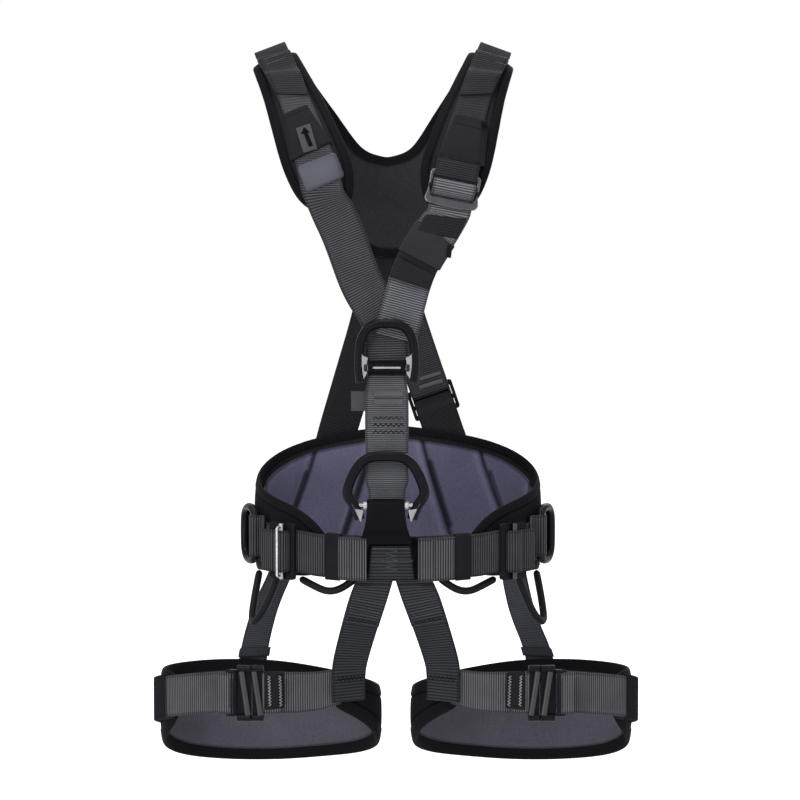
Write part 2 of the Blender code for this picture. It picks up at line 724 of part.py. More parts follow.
def build_back():
    """Spine strap, back straps with their one adjuster, and the dorsal ring."""
    back = Vector((0, 1, 0))
    x = UPPER_SHIFT
    plate = BACK_PLANE_Y + ON_YOKE
    across = Vector((WEBBING_WIDTH, 0, 0))
    spine = ((-1, 332), (0, 300), (0, 262), (0, 226))
    ribbon("spine_strap", [(Vector((x, plate + d * MM, z * MM)), across) for d, z in spine])

    def leg_points(side, layer, angle):
        """Strap line from the spine down to the belt."""
        start = Vector((x + side * 3 * MM, plate + layer * LAYER, 296 * MM))
        middle = Vector((x + side * 18 * MM, plate + layer * LAYER, 222 * MM))
        low = WAIST.point(angle, ON_WAIST + 3 * MM, 66 * MM)
        end = WAIST.point(angle * 1.1, ON_WAIST + 0.1 * MM, WEBBING_WIDTH / 2 + 8 * MM)
        return [start, middle, middle.lerp(low, 0.5) + Vector((0, 2 * MM, 0)), low, end]

    lean = WAIST.normal(-28)
    ribbon("back_strap_left", facing(curve_points(leg_points(-1, 1.2, -27), 3), back, WEBBING_WIDTH, lean))
    start, middle, _, low, end = leg_points(1, BACK_LAYER, 21)
    frame = place(middle.lerp(low, 0.66) + Vector((0, BUCKLE_LIFT, 0)), middle - low, back)
    buckle = SlideBuckle("back_adjuster", frame)
    buckle.build()
    upper = facing([start, middle + (start - middle) * 0.1, middle.lerp(low, 0.2)], back, WEBBING_WIDTH)
    ribbon("back_strap_right", upper + buckle.sewn_loop(12 * MM, BUCKLE_BAR))
    loop = buckle.grip_loop(2 * MM)
    path = [end, end.lerp(low, 0.5), low, low.lerp(loop[0][0], 0.5)]
    ribbon("back_strap_lower", facing(path, WAIST.normal(24), WEBBING_WIDTH, back) + loop)


def d_ring(name, matrix, half_bar, depth):
    """A closed D of round rod: its bar runs along Y and its bow points to X."""
    points = [Vector((0, y, 0)) for y in (-half_bar, 0, half_bar)]
    corner = 0.45 * depth
    flat = half_bar - 0.5 * corner
    points += [Vector((depth - corner + corner * math.cos(a), flat - corner * 0.4 + corner * math.sin(a), 0))
               for a in (math.radians(d) for d in (90, 60, 30, 0))]
    points += [Vector((p.x, -p.y, 0)) for p in reversed(points[3:])]
    ring = tube(name, points, RING_ROD_RADIUS, "ring_metal", closed=True)
    ring.matrix_world = matrix
    return ring


def bridge_over(frame, gap_radius, reach, width):
    """A strap that lies flat, steps over a bar and lies flat again."""
    wrap = gap_radius + LAYER_GAP + HALF_WEB
    rise = gap_radius + LAYER_GAP
    points = [(reach, -rise + HALF_WEB), (wrap + 2.5 * MM, -rise + HALF_WEB)]
    points += arc((0, 0), wrap, 0, 180)
    points += [(-wrap - 2.5 * MM, -rise + HALF_WEB), (-reach, -rise + HALF_WEB)]
    return in_frame(frame, points, width)


def build_waist():
    """Waist pad and lining, belt webbing, adjusters, side rings and gear loops."""
    angles = steps_between(-153, 153, 44)
    count = 7
    rows = []
    for angle in angles:
        top, bottom = edge_at(WAIST_EDGE, abs(angle))
        heights = steps_between(bottom, top, count - 1)
        rows.append([WAIST.point(angle, 0, height) for height in heights])
    cushion("waist_pad", rows, crown(len(rows), count), WAIST_PAD_THICKNESS, "pad_shell", 0.45)

    ribbon("belt_webbing", belt_back_stations())
    angles = steps_between(-158, -202, 12)
    ribbon("belt_bridge", WAIST.stations(angles, BRIDGE_OUT, WEBBING_WIDTH))
    for side, tag in ((-1, "left"), (1, "right")):
        build_belt_side(side, tag)


def lining_columns():
    """Angles at the top and the bottom edge of each lining column, and whether it is a groove."""
    anchors = ((0, 0, 0), (11, 30, 1), (40, 70, 1), (84, 100, 1), (140, 138, 0))
    columns = []
    for (top_a, low_a, _), (top_b, low_b, groove) in zip(anchors, anchors[1:]):
        for share in (0.12, 0.35, 0.65, 0.88, 1.0):
            mark = groove if share == 1.0 else 0
            columns.append((top_a + (top_b - top_a) * share, low_a + (low_b - low_a) * share, mark))
    return [(-t, -b, g) for t, b, g in reversed(columns)] + [(0, 0, 0)] + columns


def build_waist_lining():
    """The lining: cushions parted by channels that fan out down the back."""
    inset = 12 * MM
    out = -(WAIST_PAD_THICKNESS / 2 + LAYER_GAP)
    count = 7
    rows = []
    weights = []
    columns = lining_columns()
    for j, (top_angle, low_angle, groove) in enumerate(columns):
        row = []
        line = []
        for i in range(count):
            share = i / (count - 1)
            angle = low_angle + (top_angle - low_angle) * share
            top, bottom = edge_at(WAIST_EDGE, abs(angle))
            row.append(WAIST.point(angle, out, bottom + inset + (top - bottom - 2 * inset) * share))
            near = min(i, count - 1 - i, j, len(columns) - 1 - j)
            line.append(0.15 if groove and near else (0.0, 0.85, 1.0)[min(near, 2)])
        rows.append(row)
        weights.append(line)
    cushion("waist_lining", rows, weights, WAIST_LINING_THICKNESS, "pad_lining", 0.3, offset=-1.0)


def waist_buckle(side):
    """The belt adjuster's frame; along points to the back."""
    tag = "left" if side < 0 else "right"
    out = WAIST_PAD_THICKNESS / 2 + BUCKLE_LIFT + 2 * MM
    return SlideBuckle("waist_adjuster_" + tag, WAIST.frame(side * 132, out, -side), BELT_BUCKLE_ARM)


def belt_back_stations():
    """Belt webbing from one adjuster's end bar round the back to the other's."""
    right = waist_buckle(1).sewn_loop(14 * MM, BUCKLE_BAR)
    left = waist_buckle(-1).sewn_loop(14 * MM, BUCKLE_BAR)
    middle = WAIST.stations(steps_between(-118, 118, 36), ON_WAIST, WEBBING_WIDTH)
    up = Vector((0, 0, WEBBING_WIDTH))
    return [(c, up) for c, _ in reversed(left)] + middle + [(c, up) for c, _ in right]


def build_belt_side(side, tag):
    """One side of the belt: sliding strap, adjuster, keeper, side ring and gear loops."""
    up = Vector((0, 0, WEBBING_WIDTH))
    buckle = waist_buckle(side)
    buckle.build()
    loop = [(c, up) for c, _ in buckle.grip_loop(2 * MM)]
    start = 193 if side < 0 else 169
    start = side * start if side > 0 else start - 360
    near = side * 147
    load = WAIST.stations(steps_between(start, near, 8), BELT_OUT, WEBBING_WIDTH)
    tail_end = side * 166
    tail = WAIST.stations(steps_between(near, tail_end, 6), BELT_OUT + LAYER, WEBBING_WIDTH)
    ribbon("belt_strap_" + tag, load + loop + tail)
    keeper("belt_keeper_" + tag, WAIST, [side * a for a in (152, 155, 158)], BELT_OUT + LAYER / 2, 2)

    out = ON_WAIST + HALF_WEB + LAYER_GAP + RING_ROD_RADIUS
    frame = WAIST.frame(side * SIDE_RING_ANGLE, out, -side)
    holder = bridge_over(frame, RING_ROD_RADIUS, 15 * MM, WEBBING_WIDTH)
    rise = Vector((0, 0, SIDE_RING_RISE))
    ribbon("side_ring_holder_" + tag, [(c + rise, up) for c, _ in holder])
    backward = frame.to_3x3() @ Vector((0, 1, 0))
    turn = place(frame.translation + rise, Vector((0, 0, 1)), backward.cross(Vector((0, 0, 1))))
    turn = turn @ Matrix.Rotation(side * SIDE_RING_TUCK, 4, "Y")
    d_ring("side_ring_" + tag, turn, WEBBING_WIDTH / 2 + RING_ROD_RADIUS + 2 * LAYER_GAP, SIDE_RING_DEPTH)

    drops = (-20, -35, -44, -47, -44, -36, -20)
    gear_loop("gear_loop_side_" + tag, side, (122, 97), drops, 0, 13 * MM)
    drops = (-3, -6, -9, -11, -11, -9, -5)
    gear_loop("gear_loop_front_" + tag, side, (138, 162), drops, -2 * MM, 0)


def gear_loop(name, side, ends, drops, out, bulge):
    """A hanging tube with ball ends under the belt's lower edge, bulging outward as it hangs."""
    start, end = ends
    angles = steps_between(start, end, len(drops) + 1)

    def root(angle):
        """Centre of a ball end just under the pad or the bridge."""
        _, bottom = edge_at(WAIST_EDGE, angle)
        if angle > 153:
            bottom = -WEBBING_WIDTH / 2
        return WAIST.point(side * angle, out, bottom - GEAR_RADIUS - LAYER_GAP)

    first, last = root(start), root(end)
    points = [first]
    for i, drop in enumerate(drops):
        share = (i + 1) / (len(drops) + 1)
        bow = WAIST.point(side * angles[i + 1], out + bulge * math.sin(math.pi * share))
        level = first.lerp(last, share).z + drop * MM
        points.append(Vector((bow.x, bow.y, level)))
    points.append(last)
    path = curve_points(points, 2)
    caps = []
    for end_point, nxt in ((path[0], path[1]), (path[-1], path[-2])):
        away = (end_point - nxt).normalized()
        caps.append([(end_point + away * GEAR_RADIUS * math.sin(math.radians(a)), math.cos(math.radians(a)))
                     for a in (30, 60, 80)])
    ends = caps[0][::-1] + [(p, 1.0) for p in path] + caps[1]
    tube(name, [p for p, _ in ends], GEAR_RADIUS, "gear_tube", radii=[r for _, r in ends])


def build_leg(side, tag):
    """One leg loop: pad, webbing, two-piece buckle, keeper and its two hanging straps."""
    oval = leg_oval(side)
    angles = steps_between(-145, 124, 32)
    count = 6
    rows = []
    for angle in angles:
        top, bottom = edge_at(LEG_EDGE, angle)
        heights = steps_between(bottom, top, count - 1)
        rows.append([oval.point(side * angle, 0, height) for height in heights])
    cushion("leg_pad_" + tag, rows, crown(len(rows), count), LEG_PAD_THICKNESS, "pad_shell", 0.45)

    up = Vector((0, 0, WEBBING_WIDTH))
    out = LEG_PAD_THICKNESS / 2 + 5 * LAYER_GAP + KEEPER_WALL + HALF_WEB
    frame = oval.frame(side * 171, out, side)
    width = WEBBING_WIDTH / 2 + 4 * BUCKLE_SIDE_ROOM
    bar = LEG_BUCKLE_BAR
    body = outline("leg_buckle_frame_" + tag, [
        box_loop(-width - BUCKLE_ARM, width + BUCKLE_ARM, -9 * MM, 10 * MM + bar, 3 * MM),
        box_loop(-width, width, -9 * MM + bar, 10 * MM, 1.5 * MM)], BUCKLE_THICKNESS, "buckle_metal")
    body.matrix_world = frame
    sewn = [(32 * MM, LEAF - 1.6 * MM), (10 * MM + bar, LEAF)] + arc((10 * MM, 0), LEAF, 90, 270)
    sewn = [(frame @ Vector((0, a, o)), up) for a, o in sewn]
    inner = oval.stations([side * a for a in (190, 200, 208, 214, 220)], ON_LEG, WEBBING_WIDTH)
    narrowing = ((0, 1.0), (1, 0.97), (3, 0.94), (6, 0.91), (9, 0.88))
    inner = [(c + vec(0, 0, lift), a * share) for (c, a), (lift, share) in zip(inner, narrowing)]
    ribbon("leg_webbing_inner_" + tag, sewn + inner)

    level = BUCKLE_THICKNESS / 2 + LAYER_GAP + LEG_HOOK_THICKNESS / 2
    axis = -17.5 * MM
    hook = outline("leg_buckle_hook_" + tag, [
        box_loop(-width, width, axis - bar / 2, 3 * MM, 2 * MM),
        box_loop(-width + BUCKLE_ARM / 2, width - BUCKLE_ARM / 2, axis + bar / 2, -4 * MM, 1 * MM)],
        LEG_HOOK_THICKNESS, "buckle_metal")
    hook.matrix_world = frame @ Matrix.Translation((0, 0, level))
    clear = math.hypot(bar / 2, LEG_HOOK_THICKNESS / 2) + 2 * LAYER_GAP + HALF_WEB
    wrap = [(axis - 14 * MM, level + clear)] + arc((axis, level), clear, 90, -90)
    wrap.append((axis - 8 * MM, level - clear))
    wrap = [(frame @ Vector((0, a, o)), up) for a, o in wrap]
    outer = oval.stations([side * a for a in steps_between(148, 64, 12)], out, WEBBING_WIDTH)
    ribbon("leg_webbing_outer_" + tag, wrap + outer)
    keeper("leg_keeper_" + tag, oval, [side * a for a in (103, 106, 109, 112, 115, 118)], out, 1)

    top_x = CROTCH_X + side * (LEG_STRAP_WIDTH / 2 + 1 * MM)
    top = front_spot(top_x, BRIDGE_OUT + LAYER, CROTCH_Z)
    edge = front_spot(top_x + 1 * MM, BRIDGE_OUT + LAYER, CROTCH_Z) - top
    low = [oval.at_height(side * 224, ON_LEG + LAYER + lift * MM, z * MM)
           for z, lift in ((-128, 4), (-148, 1.4), (-170, 1))]
    path = curve_points([top, top.lerp(low[0], 0.5) + vec(0, -3, 4)] + low, 4)
    stations = []
    tangent = Vector((-oval.normal(side * 224).y, oval.normal(side * 224).x, 0)).normalized()
    if tangent.x < 0:
        tangent.negate()
    for i, point in enumerate(path):
        ahead = path[min(i + 1, len(path) - 1)] - path[max(i - 1, 0)]
        share = min(1.0, i / (len(path) - 5))
        flat = edge.normalized().lerp(tangent, share)
        square = (flat - ahead.normalized() * flat.dot(ahead.normalized())).normalized()
        turn = min(1.0, i / 3)
        stations.append((point, edge.normalized().lerp(square, turn).normalized() * LEG_STRAP_WIDTH))
    ribbon("front_leg_strap_" + tag, stations)

    high = [WAIST.point(side * 54, ON_WAIST + 2 * LAYER_GAP, u * MM) for u in (-24, -54)]
    low = [oval.point(side * 11, ON_LEG, u * MM) for u in (58, 26)]
    path = curve_points([high[0], high[1], high[1].lerp(low[0], 0.5) + vec(-4, 2, 0), low[0], low[1]], 3)
    start, end = -WAIST.normal(side * 54), -oval.normal(side * 11)
    stations = []
    for i, point in enumerate(path):
        share = i / (len(path) - 1)
        inward = start.lerp(end, share)
        level = Vector((inward.y, -inward.x, 0)).normalized()
        stations.append((point, level * ELASTIC_WIDTH))
    ribbon("rear_leg_strap_" + tag, stations, "elastic")


def build_dorsal():
    """The dorsal ring in its webbing bridge, on the back straps' meeting point."""
    out = BACK_PLANE_Y + ON_YOKE + BACK_LAYER * LAYER + HALF_WEB + LAYER_GAP + RING_ROD_RADIUS
    centre = Vector((UPPER_SHIFT, out, DORSAL_Z))
    frame = place(centre, Vector((0, 0, 1)), Vector((0, 1, 0)))
    ribbon("dorsal_holder", bridge_over(frame, RING_ROD_RADIUS, 17 * MM, LOOP_WIDTH))
    matrix = Matrix.Translation(centre) @ Matrix((Vector((0, 0.26, -0.966)), Vector((1, 0, 0)),
                                                  Vector((0, -0.966, -0.26)))).transposed().to_4x4()
    d_ring("dorsal_ring", matrix, LOOP_WIDTH / 2 + RING_ROD_RADIUS + 2 * LAYER_GAP, SIDE_RING_DEPTH)


clear_scene()
HARNESS = collection("climbing_harness")
CUTTERS = collection("cutters")
build_yoke()
build_chest()
build_front_rings()
build_front_column()
build_back()
build_dorsal()
build_waist()
build_waist_lining()
build_leg(-1, "left")
build_leg(1, "right")
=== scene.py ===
"""Looks for the full-body tree climbing harness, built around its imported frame.

Metres, +Z up, the wearer faces -Y and +X is the viewer's right. Points called picture points are
pixels of the 800 by 800 picture that the camera takes; what they place is laid on the piece under them.
"""

import json
import logging
import math
from dataclasses import dataclass, field
from enum import Enum
from typing import Callable, Iterable, Optional, Sequence

import bmesh
import bpy
import numpy as np
from mathutils import Matrix, Vector
from mathutils.bvhtree import BVHTree
from mathutils.kdtree import KDTree


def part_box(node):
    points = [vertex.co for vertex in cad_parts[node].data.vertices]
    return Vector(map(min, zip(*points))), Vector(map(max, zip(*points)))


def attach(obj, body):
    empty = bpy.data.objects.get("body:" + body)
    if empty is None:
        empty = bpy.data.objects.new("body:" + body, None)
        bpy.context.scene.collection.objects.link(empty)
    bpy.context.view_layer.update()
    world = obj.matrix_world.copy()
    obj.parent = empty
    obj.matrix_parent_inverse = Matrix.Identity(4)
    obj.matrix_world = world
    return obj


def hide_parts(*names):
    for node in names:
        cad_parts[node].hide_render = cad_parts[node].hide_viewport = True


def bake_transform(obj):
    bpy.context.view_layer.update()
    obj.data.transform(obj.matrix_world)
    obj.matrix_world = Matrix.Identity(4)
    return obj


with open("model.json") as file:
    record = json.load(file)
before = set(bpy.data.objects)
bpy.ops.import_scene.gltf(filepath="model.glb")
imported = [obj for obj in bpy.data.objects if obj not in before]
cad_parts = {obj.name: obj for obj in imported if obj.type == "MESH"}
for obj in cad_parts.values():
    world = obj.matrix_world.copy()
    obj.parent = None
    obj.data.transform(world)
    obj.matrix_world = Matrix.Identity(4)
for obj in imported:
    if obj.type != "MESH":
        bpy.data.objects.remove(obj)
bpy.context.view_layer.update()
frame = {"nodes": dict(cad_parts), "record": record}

LOG = logging.getLogger("harness")
MM = 0.001
WHITE = (1.0, 1.0, 1.0)
FRONT = (0.0, -1.0, 0.0)
FLAT = math.radians(1)
Colour = tuple[float, float, float]
Spot = tuple[float, float]
Outline = tuple[Spot, ...]
Array = np.ndarray
Node = bpy.types.Node
Socket = bpy.types.NodeSocket
Mesh = bpy.types.Mesh
Shape = bmesh.types.BMesh
Piece = bpy.types.Object


class Side(Enum):
    """The wearer's two halves as the viewer sees them."""

    LEFT = "left"
    RIGHT = "right"

    @property
    def sign(self) -> int:
        """-1 for the viewer's left, 1 for the right."""
        return -1 if self is Side.LEFT else 1


class Slot(Enum):
    """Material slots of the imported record."""

    WEBBING = "webbing"
    SHELL = "pad_shell"
    LINING = "pad_lining"
    ELASTIC = "elastic"
    RING = "ring_metal"
    PIN = "pin_metal"
    BUCKLE = "buckle_metal"
    KEEPER = "keeper_plastic"
    TUBE = "gear_tube"


# Finishes


class Graph:
    """A node tree being wired, with short ways to add nodes."""

    def __init__(self, tree: bpy.types.NodeTree) -> None:
        """Keep the tree."""
        self.tree = tree

    def add(self, kind: str, inputs: Optional[dict] = None, **settings: object) -> Node:
        """Add a node.

        Args:
            kind: Blender's type name of the node.
            inputs: Values or sockets for its inputs, by name or number.
            **settings: Properties set on the node itself.

        Returns:
            The new node.
        """
        node = self.tree.nodes.new(kind)
        for key, value in settings.items():
            setattr(node, key, value)
        self.fill(node, inputs or {})
        return node

    def fill(self, node: Node, inputs: dict) -> None:
        """Link sockets into a node's inputs, or set the inputs' own values."""
        for key, value in inputs.items():
            if isinstance(value, Socket):
                self.tree.links.new(value, node.inputs[key])
            else:
                node.inputs[key].default_value = value

    def math(self, operation: str, *values: object) -> Socket:
        """Output of a Math node on the given values."""
        return self.add("ShaderNodeMath", dict(enumerate(values)), operation=operation).outputs[0]

    def times(self, first: object, *others: object) -> Socket:
        """Product of several values."""
        for other in others:
            first = self.math("MULTIPLY", first, other)
        return first

    def scaled(self, value: object, factor: object, plus: object) -> Socket:
        """Output times a factor, plus another value."""
        return self.math("MULTIPLY_ADD", value, factor, plus)

    def ease(self, value: Socket, low: float, high: float) -> Socket:
        """Output that rises smoothly from 0 at low to 1 at high."""
        node = self.add("ShaderNodeMapRange", {"Value": value, "From Min": low, "From Max": high},
                        interpolation_type="SMOOTHSTEP")
        return node.outputs[0]

    def mix(self, share: object, first: object, second: object) -> Socket:
        """Colour output between two colours."""
        return self.add("ShaderNodeMix", {0: share, 6: first, 7: second}, data_type="RGBA").outputs[2]

    def tint(self, colour: object, strength: Socket) -> Socket:
        """Colour output times a strength."""
        grey = self.add("ShaderNodeCombineColor", {0: strength, 1: strength, 2: strength}).outputs[0]
        return self.add("ShaderNodeMix", {0: 1.0, 6: colour, 7: grey}, data_type="RGBA",
                        blend_type="MULTIPLY").outputs[2]

    def noise(self, vector: Socket, scale: float, detail: float = 2.0) -> Socket:
        """Noise output at a scale in cycles a metre or a unit."""
        node = self.add("ShaderNodeTexNoise", {"Vector": vector, "Scale": scale, "Detail": detail})
        return node.outputs[0]

    def spread(self, value: Socket, low: float, high: float) -> Socket:
        """Output that carries noise from about 0.25-0.75 to low-high."""
        node = self.add("ShaderNodeMapRange", {"Value": value, "From Min": 0.25, "From Max": 0.75,
                                               "To Min": low, "To Max": high})
        return node.outputs[0]

    def attribute(self, name: str) -> Socket:
        """Number that the mesh carries at each point."""
        return self.add("ShaderNodeAttribute", attribute_name=name).outputs["Fac"]

    def spot(self) -> Socket:
        """Object coordinates."""
        return self.add("ShaderNodeTexCoord").outputs["Object"]

    def bump(self, height: Socket, strength: float, distance: float = 0.0003) -> Socket:
        """Normal output that is bumped by a height."""
        node = self.add("ShaderNodeBump", {"Height": height, "Strength": strength, "Distance": distance})
        return node.outputs[0]


def rgba(colour: Colour) -> tuple[float, float, float, float]:
    """A colour with full alpha."""
    return (*colour, 1.0)


class Finish:
    """Base of the finishes: a named Principled material, made once."""

    name: str

    def wire(self, graph: Graph, shader: Node) -> None:
        """Wire the finish into the shader."""
        raise NotImplementedError

    def material(self) -> bpy.types.Material:
        """The material of this finish."""
        found = bpy.data.materials.get("finish_" + self.name)
        if found:
            return found
        made = bpy.data.materials.new("finish_" + self.name)
        made.use_nodes = True
        self.wire(Graph(made.node_tree), made.node_tree.nodes["Principled BSDF"])
        return made


@dataclass(frozen=True)
class WebbingFinish(Finish):
    """Ribbed polyester webbing that follows the strap's own lengthwise coordinate."""

    name: str
    colour: Colour
    pitch: float = 2.4
    # Strength of the painted shade in the rib valleys and the painted highlights on the rib crests.
    rib_painted_light: float = 1.5
    roughness: float = 0.55
    sheen: float = 0.04
    fleck: float = 0.22

    def wire(self, graph: Graph, shader: Node) -> None:
        """Wire ribs, with painted shade in their valleys and painted highlights on their crests, yarn and
        wear.

        Args:
            graph: The material's tree.
            shader: Its Principled node.
        """
        strap = graph.add("ShaderNodeUVMap", uv_map="strap").outputs[0]
        parts = graph.add("ShaderNodeSeparateXYZ", {0: strap})
        across, along = parts.outputs[0], parts.outputs[1]
        turn = graph.times(along, 2 * math.pi / self.pitch)
        rib = graph.scaled(graph.math("COSINE", turn), 0.5, 0.5)
        yarn_spot = graph.add("ShaderNodeCombineXYZ", {0: graph.times(across, 60.0),
                                                       1: graph.times(along, 1.4)})
        yarn = graph.noise(yarn_spot.outputs[0], 1.0, 3.0)
        cloud = graph.noise(graph.spot(), 34.0, 3.0)
        edge = graph.math("ABSOLUTE", graph.math("SUBTRACT", across, 0.5))
        selvedge = graph.ease(edge, 0.43, 0.475)
        # Painted light on the ribs: the valleys are darkened as painted shade and the crests lightened as
        # painted highlights, over the pressed rib geometry.
        shade = graph.times(graph.scaled(rib, self.rib_painted_light, 1.0 - 0.55 * self.rib_painted_light),
                            graph.spread(cloud, 0.86, 1.14),
                            graph.spread(yarn, 1 - self.fleck, 1 + self.fleck),
                            graph.scaled(selvedge, -0.45, 1.0))
        graph.fill(shader, {"Base Color": graph.tint(rgba(self.colour), shade),
                            "Roughness": graph.spread(yarn, self.roughness, self.roughness + 0.16),
                            "Specular IOR Level": 0.14, "Sheen Weight": self.sheen, "Sheen Roughness": 0.45,
                            "Normal": graph.bump(graph.scaled(yarn, 0.5, rib), 0.4)})


def cloth_shade(graph: Graph, spot: Socket, grain: float, variation: float) -> tuple[Socket, Socket]:
    """Shade and height of a plain woven cloth.

    Args:
        graph: The material's tree.
        spot: Object coordinates.
        grain: Threads a metre.
        variation: Share by which the colour wanders.

    Returns:
        A factor for the colour and a height for the bump.
    """
    cloud = graph.spread(graph.noise(spot, 22.0, 4.0), 1 - variation, 1 + variation)
    weave = graph.add("ShaderNodeTexVoronoi", {"Vector": spot, "Scale": grain, "Randomness": 0.55})
    thread = graph.math("SUBTRACT", 1.0, weave.outputs["Distance"])
    fuzz = graph.noise(spot, grain * 0.7, 2.0)
    shade = graph.times(cloud, graph.spread(fuzz, 0.86, 1.14), graph.scaled(thread, 0.3, 0.8))
    return shade, graph.scaled(fuzz, 0.6, thread)


@dataclass(frozen=True)
class ClothFinish(Finish):
    """Plain cloth: coated cover, binding tape, label stock or thread."""

    name: str
    colour: Colour
    grain: float = 900.0
    roughness: float = 0.8
    variation: float = 0.12
    specular: float = 0.05
    bump: float = 0.3

    def wire(self, graph: Graph, shader: Node) -> None:
        """Wire weave and colour drift."""
        shade, height = cloth_shade(graph, graph.spot(), self.grain, self.variation)
        graph.fill(shader, {"Base Color": graph.tint(rgba(self.colour), shade),
                            "Roughness": graph.spread(height, self.roughness, self.roughness + 0.12),
                            "Specular IOR Level": self.specular, "Normal": graph.bump(height, self.bump)})


@dataclass(frozen=True)
class PadFinish(Finish):
    """A bound pad: cover outside, lining inside, binding tape along the rim.

    The mesh carries "rim", the distance to the rim in millimetres, "inner", 1 on the wearer's side,
    and "crease", 1 along the sewn channels, where the colour is darkened as painted shade, and below 0
    on the ridge beside a lining channel, where it is lightened as a painted highlight.
    """

    name: str
    cover: Colour
    lining: Colour
    binding: Colour
    tape: float = 9.0
    grain: float = 620.0
    # Share by which the channels are darkened as painted shade, and the ridges lightened as painted
    # highlights.
    crease: float = 0.6

    def wire(self, graph: Graph, shader: Node) -> None:
        """Wire the three cloths by the mesh's attributes, with painted shade along the binding's seam and the
        channels and painted highlights on the ridges.
        """
        rim, inner = graph.attribute("rim"), graph.attribute("inner")
        shade, height = cloth_shade(graph, graph.spot(), self.grain, 0.1)
        body = graph.mix(graph.ease(inner, 0.4, 0.6), rgba(self.cover), rgba(self.lining))
        field_share = graph.ease(rim, self.tape - 0.3, self.tape + 0.3)
        # Painted shade in the groove of the binding's seam, just inside the tape.
        fold = graph.ease(graph.math("ABSOLUTE", graph.math("SUBTRACT", rim, self.tape + 0.6)), 0.2, 2.6)
        fold = graph.scaled(fold, 0.5, 0.5)
        # Painted shade along the channels, painted highlight on the ridge beside each.
        channel_painted_light = graph.scaled(graph.attribute("crease"), -self.crease, 1.0)
        colour = graph.mix(field_share, rgba(self.binding), body)
        graph.fill(shader, {"Base Color": graph.tint(colour, graph.times(shade, graph.times(fold, channel_painted_light))),
                            "Roughness": graph.scaled(field_share, 0.18, 0.7),
                            "Specular IOR Level": 0.05, "Normal": graph.bump(height, 0.3, 0.0004)})


@dataclass(frozen=True)
class HardFinish(Finish):
    """Metal or moulded plastic with fine scratches and lighter edges, partly wear and partly painted
    highlights.
    """

    name: str
    colour: Colour
    metallic: float
    roughness: float
    wear_and_glint_colour: Colour = (0.2, 0.2, 0.2)
    wear_and_glint: float = 0.5
    specular: float = 0.15

    def wire(self, graph: Graph, shader: Node) -> None:
        """Wire the lighter edges, partly wear and partly painted highlights, blotches and a brushed
        roughness.
        """
        spot = graph.spot()
        point = graph.add("ShaderNodeNewGeometry").outputs["Pointiness"]
        grit = graph.noise(spot, 420.0, 4.0)
        blotch = graph.noise(spot, 60.0, 3.0)
        # Pointy edges lighten: partly wear, partly painted highlights that stand in for glints on the dark
        # parts.
        edge = graph.times(graph.ease(graph.scaled(grit, 0.06, point), 0.55, 0.63), self.wear_and_glint)
        colour = graph.mix(edge, rgba(self.colour), rgba(self.wear_and_glint_colour))
        rough = graph.scaled(blotch, 0.14, self.roughness - 0.05)
        graph.fill(shader, {"Base Color": graph.tint(colour, graph.spread(blotch, 0.88, 1.12)),
                            "Roughness": graph.scaled(grit, 0.08, rough), "Metallic": self.metallic,
                            "Specular IOR Level": self.specular, "Normal": graph.bump(grit, 0.08, 0.0002)})


@dataclass(frozen=True)
class FloorFinish(Finish):
    """Pale matt floor, lifted to white for the camera away from the object's shadow."""

    name: str
    colour: Colour
    near: float
    far: float

    def wire(self, graph: Graph, shader: Node) -> None:
        """Wire the pale colour and the camera's lift."""
        spot = graph.spot()
        shade = graph.spread(graph.noise(spot, 3.0, 2.0), 0.985, 1.0)
        reach = graph.add("ShaderNodeVectorMath", {0: spot}, operation="LENGTH").outputs["Value"]
        lift = graph.scaled(graph.ease(reach, 0.8, 2.0), self.far - self.near, self.near)
        graph.fill(shader, {"Base Color": graph.tint(rgba(self.colour), shade), "Roughness": 0.9,
                            "Specular IOR Level": 0.05, "Emission Color": rgba(WHITE),
                            "Emission Strength": graph.times(Studio.seen(graph), lift)})


WEB_CHEST = WebbingFinish("webbing_chest", (0.047, 0.047, 0.053))
# Lit copy of the chest webbing: the lower chest strap is painted lighter, as painted light for the light that
# falls on it.
WEB_LIT = WebbingFinish("webbing_worn", (0.118, 0.12, 0.136), sheen=0.06)
WEB_STERNUM = WebbingFinish("webbing_sternum", (0.088, 0.09, 0.102), pitch=2.1)
WEB_BELT = WebbingFinish("webbing_belt", (0.037, 0.036, 0.042), pitch=2.6, rib_painted_light=1.75)
# Lit copy of the belt webbing: the belt's ends are painted lighter, as painted light.
WEB_BELT_LIT = WebbingFinish("webbing_belt_end", (0.068, 0.066, 0.077), pitch=2.6, rib_painted_light=1.75)
WEB_LEG = WebbingFinish("webbing_leg", (0.08, 0.081, 0.092))
WEB_STRAP = WebbingFinish("webbing_leg_strap", (0.021, 0.023, 0.028), pitch=3.2)
WEB_STRAP_END = WebbingFinish("webbing_leg_strap_end", (0.027, 0.029, 0.035), pitch=3.2)
WEB_BACK = WebbingFinish("webbing_back", (0.009, 0.009, 0.011))
WEB_BACK_LIT = WebbingFinish("webbing_back_lit", (0.032, 0.032, 0.038))
WEB_LOOP = WebbingFinish("webbing_loops", (0.017, 0.017, 0.021))
WEB_TAIL = WebbingFinish("webbing_tail", (0.008, 0.008, 0.01), roughness=0.45)
ELASTIC = WebbingFinish("elastic", (0.055, 0.058, 0.07), pitch=2.0, rib_painted_light=0.9)
BLACK_CLOTH = ClothFinish("black_cloth", (0.005, 0.005, 0.007))
SLEEVE_CLOTH = ClothFinish("sleeve_cloth", (0.004, 0.004, 0.006), roughness=0.5, specular=0.06)
KEEPER_CLOTH = ClothFinish("keeper_cloth", (0.014, 0.014, 0.018), grain=700.0)
KEEPER_BAND = ClothFinish("keeper_band", (0.026, 0.026, 0.03), grain=1100.0, roughness=0.6, specular=0.1)
